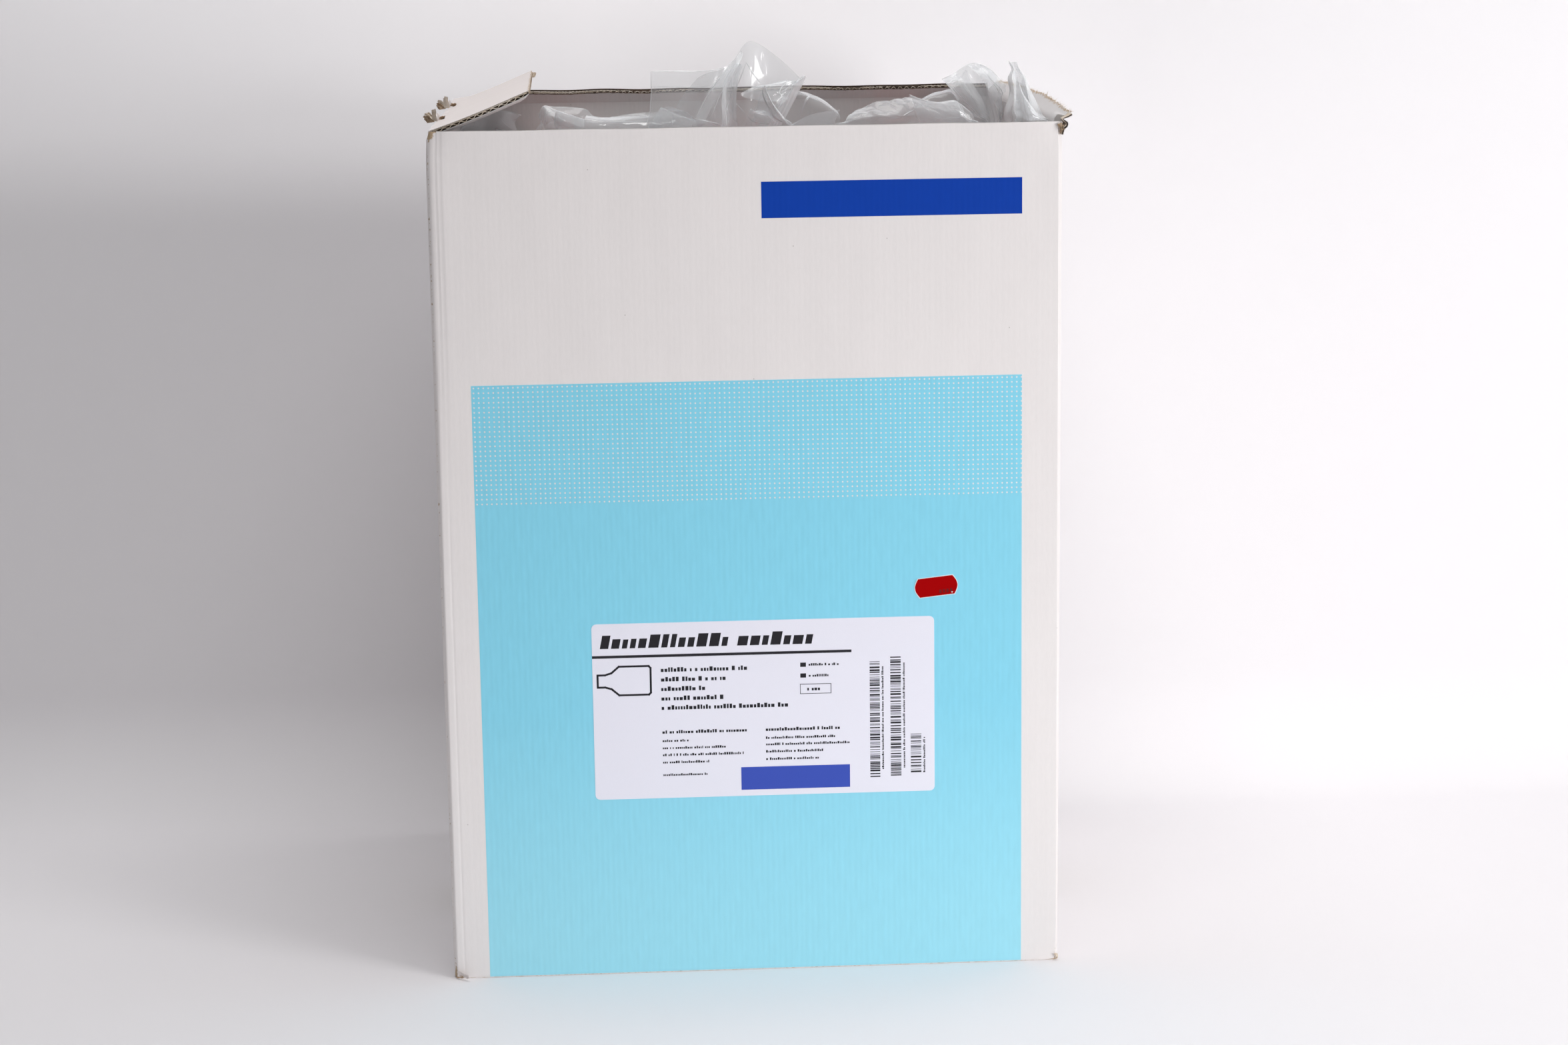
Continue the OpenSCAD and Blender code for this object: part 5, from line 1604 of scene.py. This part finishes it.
def pressedFold(surface, normal, width, path):
    # A crease as a slim lens of film along its path over the sheet, tapering to both ends
    path = curveThrough(np.array(path, float) / 10, filmBags["foldPoints"])
    row = np.clip(path[:, 1], 0, 1) * (surface.shape[0] - 1)
    column = np.clip(path[:, 0], 0, 1) * (surface.shape[1] - 1)
    n = np.minimum(row.astype(int), surface.shape[0] - 2)
    k = np.minimum(column.astype(int), surface.shape[1] - 2)
    up, over = (row - n)[:, None], (column - k)[:, None]

    def at(grid):
        # The value between the four nearest grid points
        near, far = (grid[line, k] * (1 - over) + grid[line, k + 1] * over for line in (n, n + 1))
        return near * (1 - up) + far * up

    middle, out = at(surface), at(normal)
    side = np.cross(np.gradient(middle, axis=0), out)
    side /= np.linalg.norm(side, axis=1)[:, None] + 1e-9
    taper = 0.12 + 0.88 * np.sin(np.linspace(0.02, math.pi - 0.02, len(path)))[:, None] ** 0.6
    wide, proud = side * width / 2 * taper, out * filmBags["foldProud"] * taper
    return sweptSolid(np.stack([middle - wide, middle + proud, middle + wide, middle - proud], 1),
                      pressedFilm)


for number, (bag, sheets) in enumerate(filmSheets.items()):
    parts = [bagBody(bag, 400 + 10 * number)]
    surfaces = []
    for n, (crumpled, length, material, net) in enumerate(sheets):
        surface, normal = sheetSurface(crumpled, length, net, gathers[bag], 500 + 20 * number + n)
        surfaces.append((surface, normal))
        thick = normal * filmBags["sheetThickness"] / 2
        parts.append(thinSolid(surface + thick, surface - thick, material))
    parts += [pressedFold(*surfaces[n], width, path) for n, width, path in pressedFolds[bag]]
    makePiece(bag + "_bag", "carton", parts, replaced=[bag + "_film"], sharp=60)
print("film bags made")


stage = {
    "floor": "#f2f0f2",
    "wallY": 250.0,
    "curve": 80.0,
    "reach": 4000.0,
    "top": 3200.0,
    "worldFill": 0.16,
    "worldSeen": 0.9,
    # m, where the backdrop's painted glow starts and is full: upwards, and along X to its peak and from it
    "glowUp": (0.41, 0.49),
    "glowIn": (-0.6, -0.09),
    "glowOut": (-0.09, 0.3),
    "glowShare": (0.08, 0.27),  # its strength at the left and at the peak
    # each lamp: place, aim, width and height in mm and power in watts
    "key": ((1450, -1250, 450), (0, -100, 220), (700, 700), 18.1),
    "overhead": ((80, -380, 2300), (0, 0, 0), (1500, 1500), 25.8),
    "low": ((60, -560, 35), (60, -155, 60), (620, 60), 0.3),
}
floorZ = float(cadBounds[0][2]) / mm - 0.02
angle = np.linspace(0, math.pi / 2, 12)
bend = np.stack([stage["wallY"] - stage["curve"] + stage["curve"] * np.sin(angle),
                 floorZ + stage["curve"] * (1 - np.cos(angle))], -1)
profile = np.concatenate([[(-stage["reach"], floorZ)], bend, [(stage["wallY"], stage["top"])]])
side = np.array([-stage["reach"], stage["reach"]])
sweepPoints = np.stack(np.broadcast_arrays(side[:, None], profile[None, :, 0], profile[None, :, 1]), -1)


def seenDirectly(add):
    # 1 for what the camera, a mirror or clear film shows, and 0 for the light that falls on the object
    path = add("LightPath")
    seen = add("Math", {0: path.outputs["Is Camera Ray"], 1: path.outputs["Is Glossy Ray"]},
               operation="MAXIMUM")
    return add("Math", {0: seen, 1: path.outputs["Is Transmission Ray"]}, operation="MAXIMUM")


backdrop, add = newMaterial("paper backdrop")
# Matt backdrop paper, and nothing where it is seen from behind
paper = add("BsdfDiffuse", {"Color": hexToLinear(stage["floor"])})
nothing = add("BsdfTransparent")
geometry = add("NewGeometry")
# Painted light: the upper wall glows for the camera, mirrors and film, most behind the left half, lifting it
# out of the carton's shadow
place = add("SeparateXYZ", {0: geometry.outputs["Position"]})
up, into, out = stage["glowUp"], stage["glowIn"], stage["glowOut"]
faint, peak = stage["glowShare"]
height = add("MapRange", {"Value": place.outputs["Z"], 1: up[0], 2: up[1]}, interpolation_type="SMOOTHSTEP")
rise = add("MapRange", {"Value": place.outputs["X"], 1: into[0], 2: into[1], 3: faint, 4: peak})
fall = add("MapRange", {"Value": place.outputs["X"], 1: out[0], 2: out[1], 3: 1.0, 4: 0.0})
paintedGlow = add("Math", {0: rise, 1: fall}, operation="MULTIPLY")
paintedGlow = add("Math", {0: paintedGlow, 1: height}, operation="MULTIPLY")
seen = seenDirectly(add)
paintedGlow = add("Math", {0: paintedGlow, 1: seen}, operation="MULTIPLY")
paintedLight = add("Emission", {"Color": hexToLinear("#f6f3f4"), "Strength": paintedGlow})
lit = add("AddShader", {0: paper, 1: paintedLight})
surface = add("MixShader", {0: geometry.outputs["Backfacing"], 1: lit, 2: nothing})
add("OutputMaterial", {"Surface": surface})
part = {"points": sweepPoints.reshape(-1, 3), "faces": [gridFaces(2, len(profile))], "material": backdrop}
sweep = makePiece("backdrop", None, [withPattern(part, None, None)])

world = bpy.data.worlds.new("studio")
bpy.context.scene.world = world
world.use_nodes = True
world.node_tree.nodes.clear()
add = partial(addNode, world.node_tree)
seen = seenDirectly(add)
strength = add("MapRange", {"Value": seen, 3: stage["worldFill"], 4: stage["worldSeen"]})
sky = add("Background", {"Color": hexToLinear("#f6f5f6"), "Strength": strength})
add("OutputWorld", {"Surface": sky})


def areaLamp(name, place, aim, size, power):
    # A soft lamp at place, turned to aim; size is its width and height, and its power is in watts
    lamp = bpy.data.lights.new(name, "AREA")
    lamp.shape = "RECTANGLE"
    lamp.size, lamp.size_y = size[0] * mm, size[1] * mm
    lamp.energy = power
    lampObject = bpy.data.objects.new(name, lamp)
    lampObject.location = Vector(place) * mm
    lampObject.rotation_euler = (Vector(aim) - Vector(place)).to_track_quat("-Z", "Y").to_euler()
    bpy.context.scene.collection.objects.link(lampObject)


for lampName in ("key", "overhead", "low"):
    areaLamp(lampName, *stage[lampName])

camera = {  # place and focal length in mm, angles in degrees
    "place": (-76.82, -1919.94, 618.63), "yaw": 3.1215, "down": 11.0114, "roll": -0.7675, "focal": 70.408165,
}
lens = bpy.data.cameras.new("camera")
lens.sensor_width = 36
lens.lens = camera["focal"]
lens.clip_start, lens.clip_end = 0.1, 20
cameraObject = bpy.data.objects.new("camera", lens)
cameraObject.matrix_world = (Matrix.Translation(Vector(camera["place"]) * mm)
                             @ Matrix.Rotation(math.radians(-camera["yaw"]), 4, "Z")
                             @ Matrix.Rotation(math.radians(90 - camera["down"]), 4, "X")
                             @ Matrix.Rotation(math.radians(camera["roll"]), 4, "Z"))
bpy.context.scene.collection.objects.link(cameraObject)
bpy.context.scene.camera = cameraObject
bpy.context.scene.view_settings.view_transform = "Standard"
bpy.context.scene.cycles.transparent_max_bounces = 48
print("stage, light and camera set")
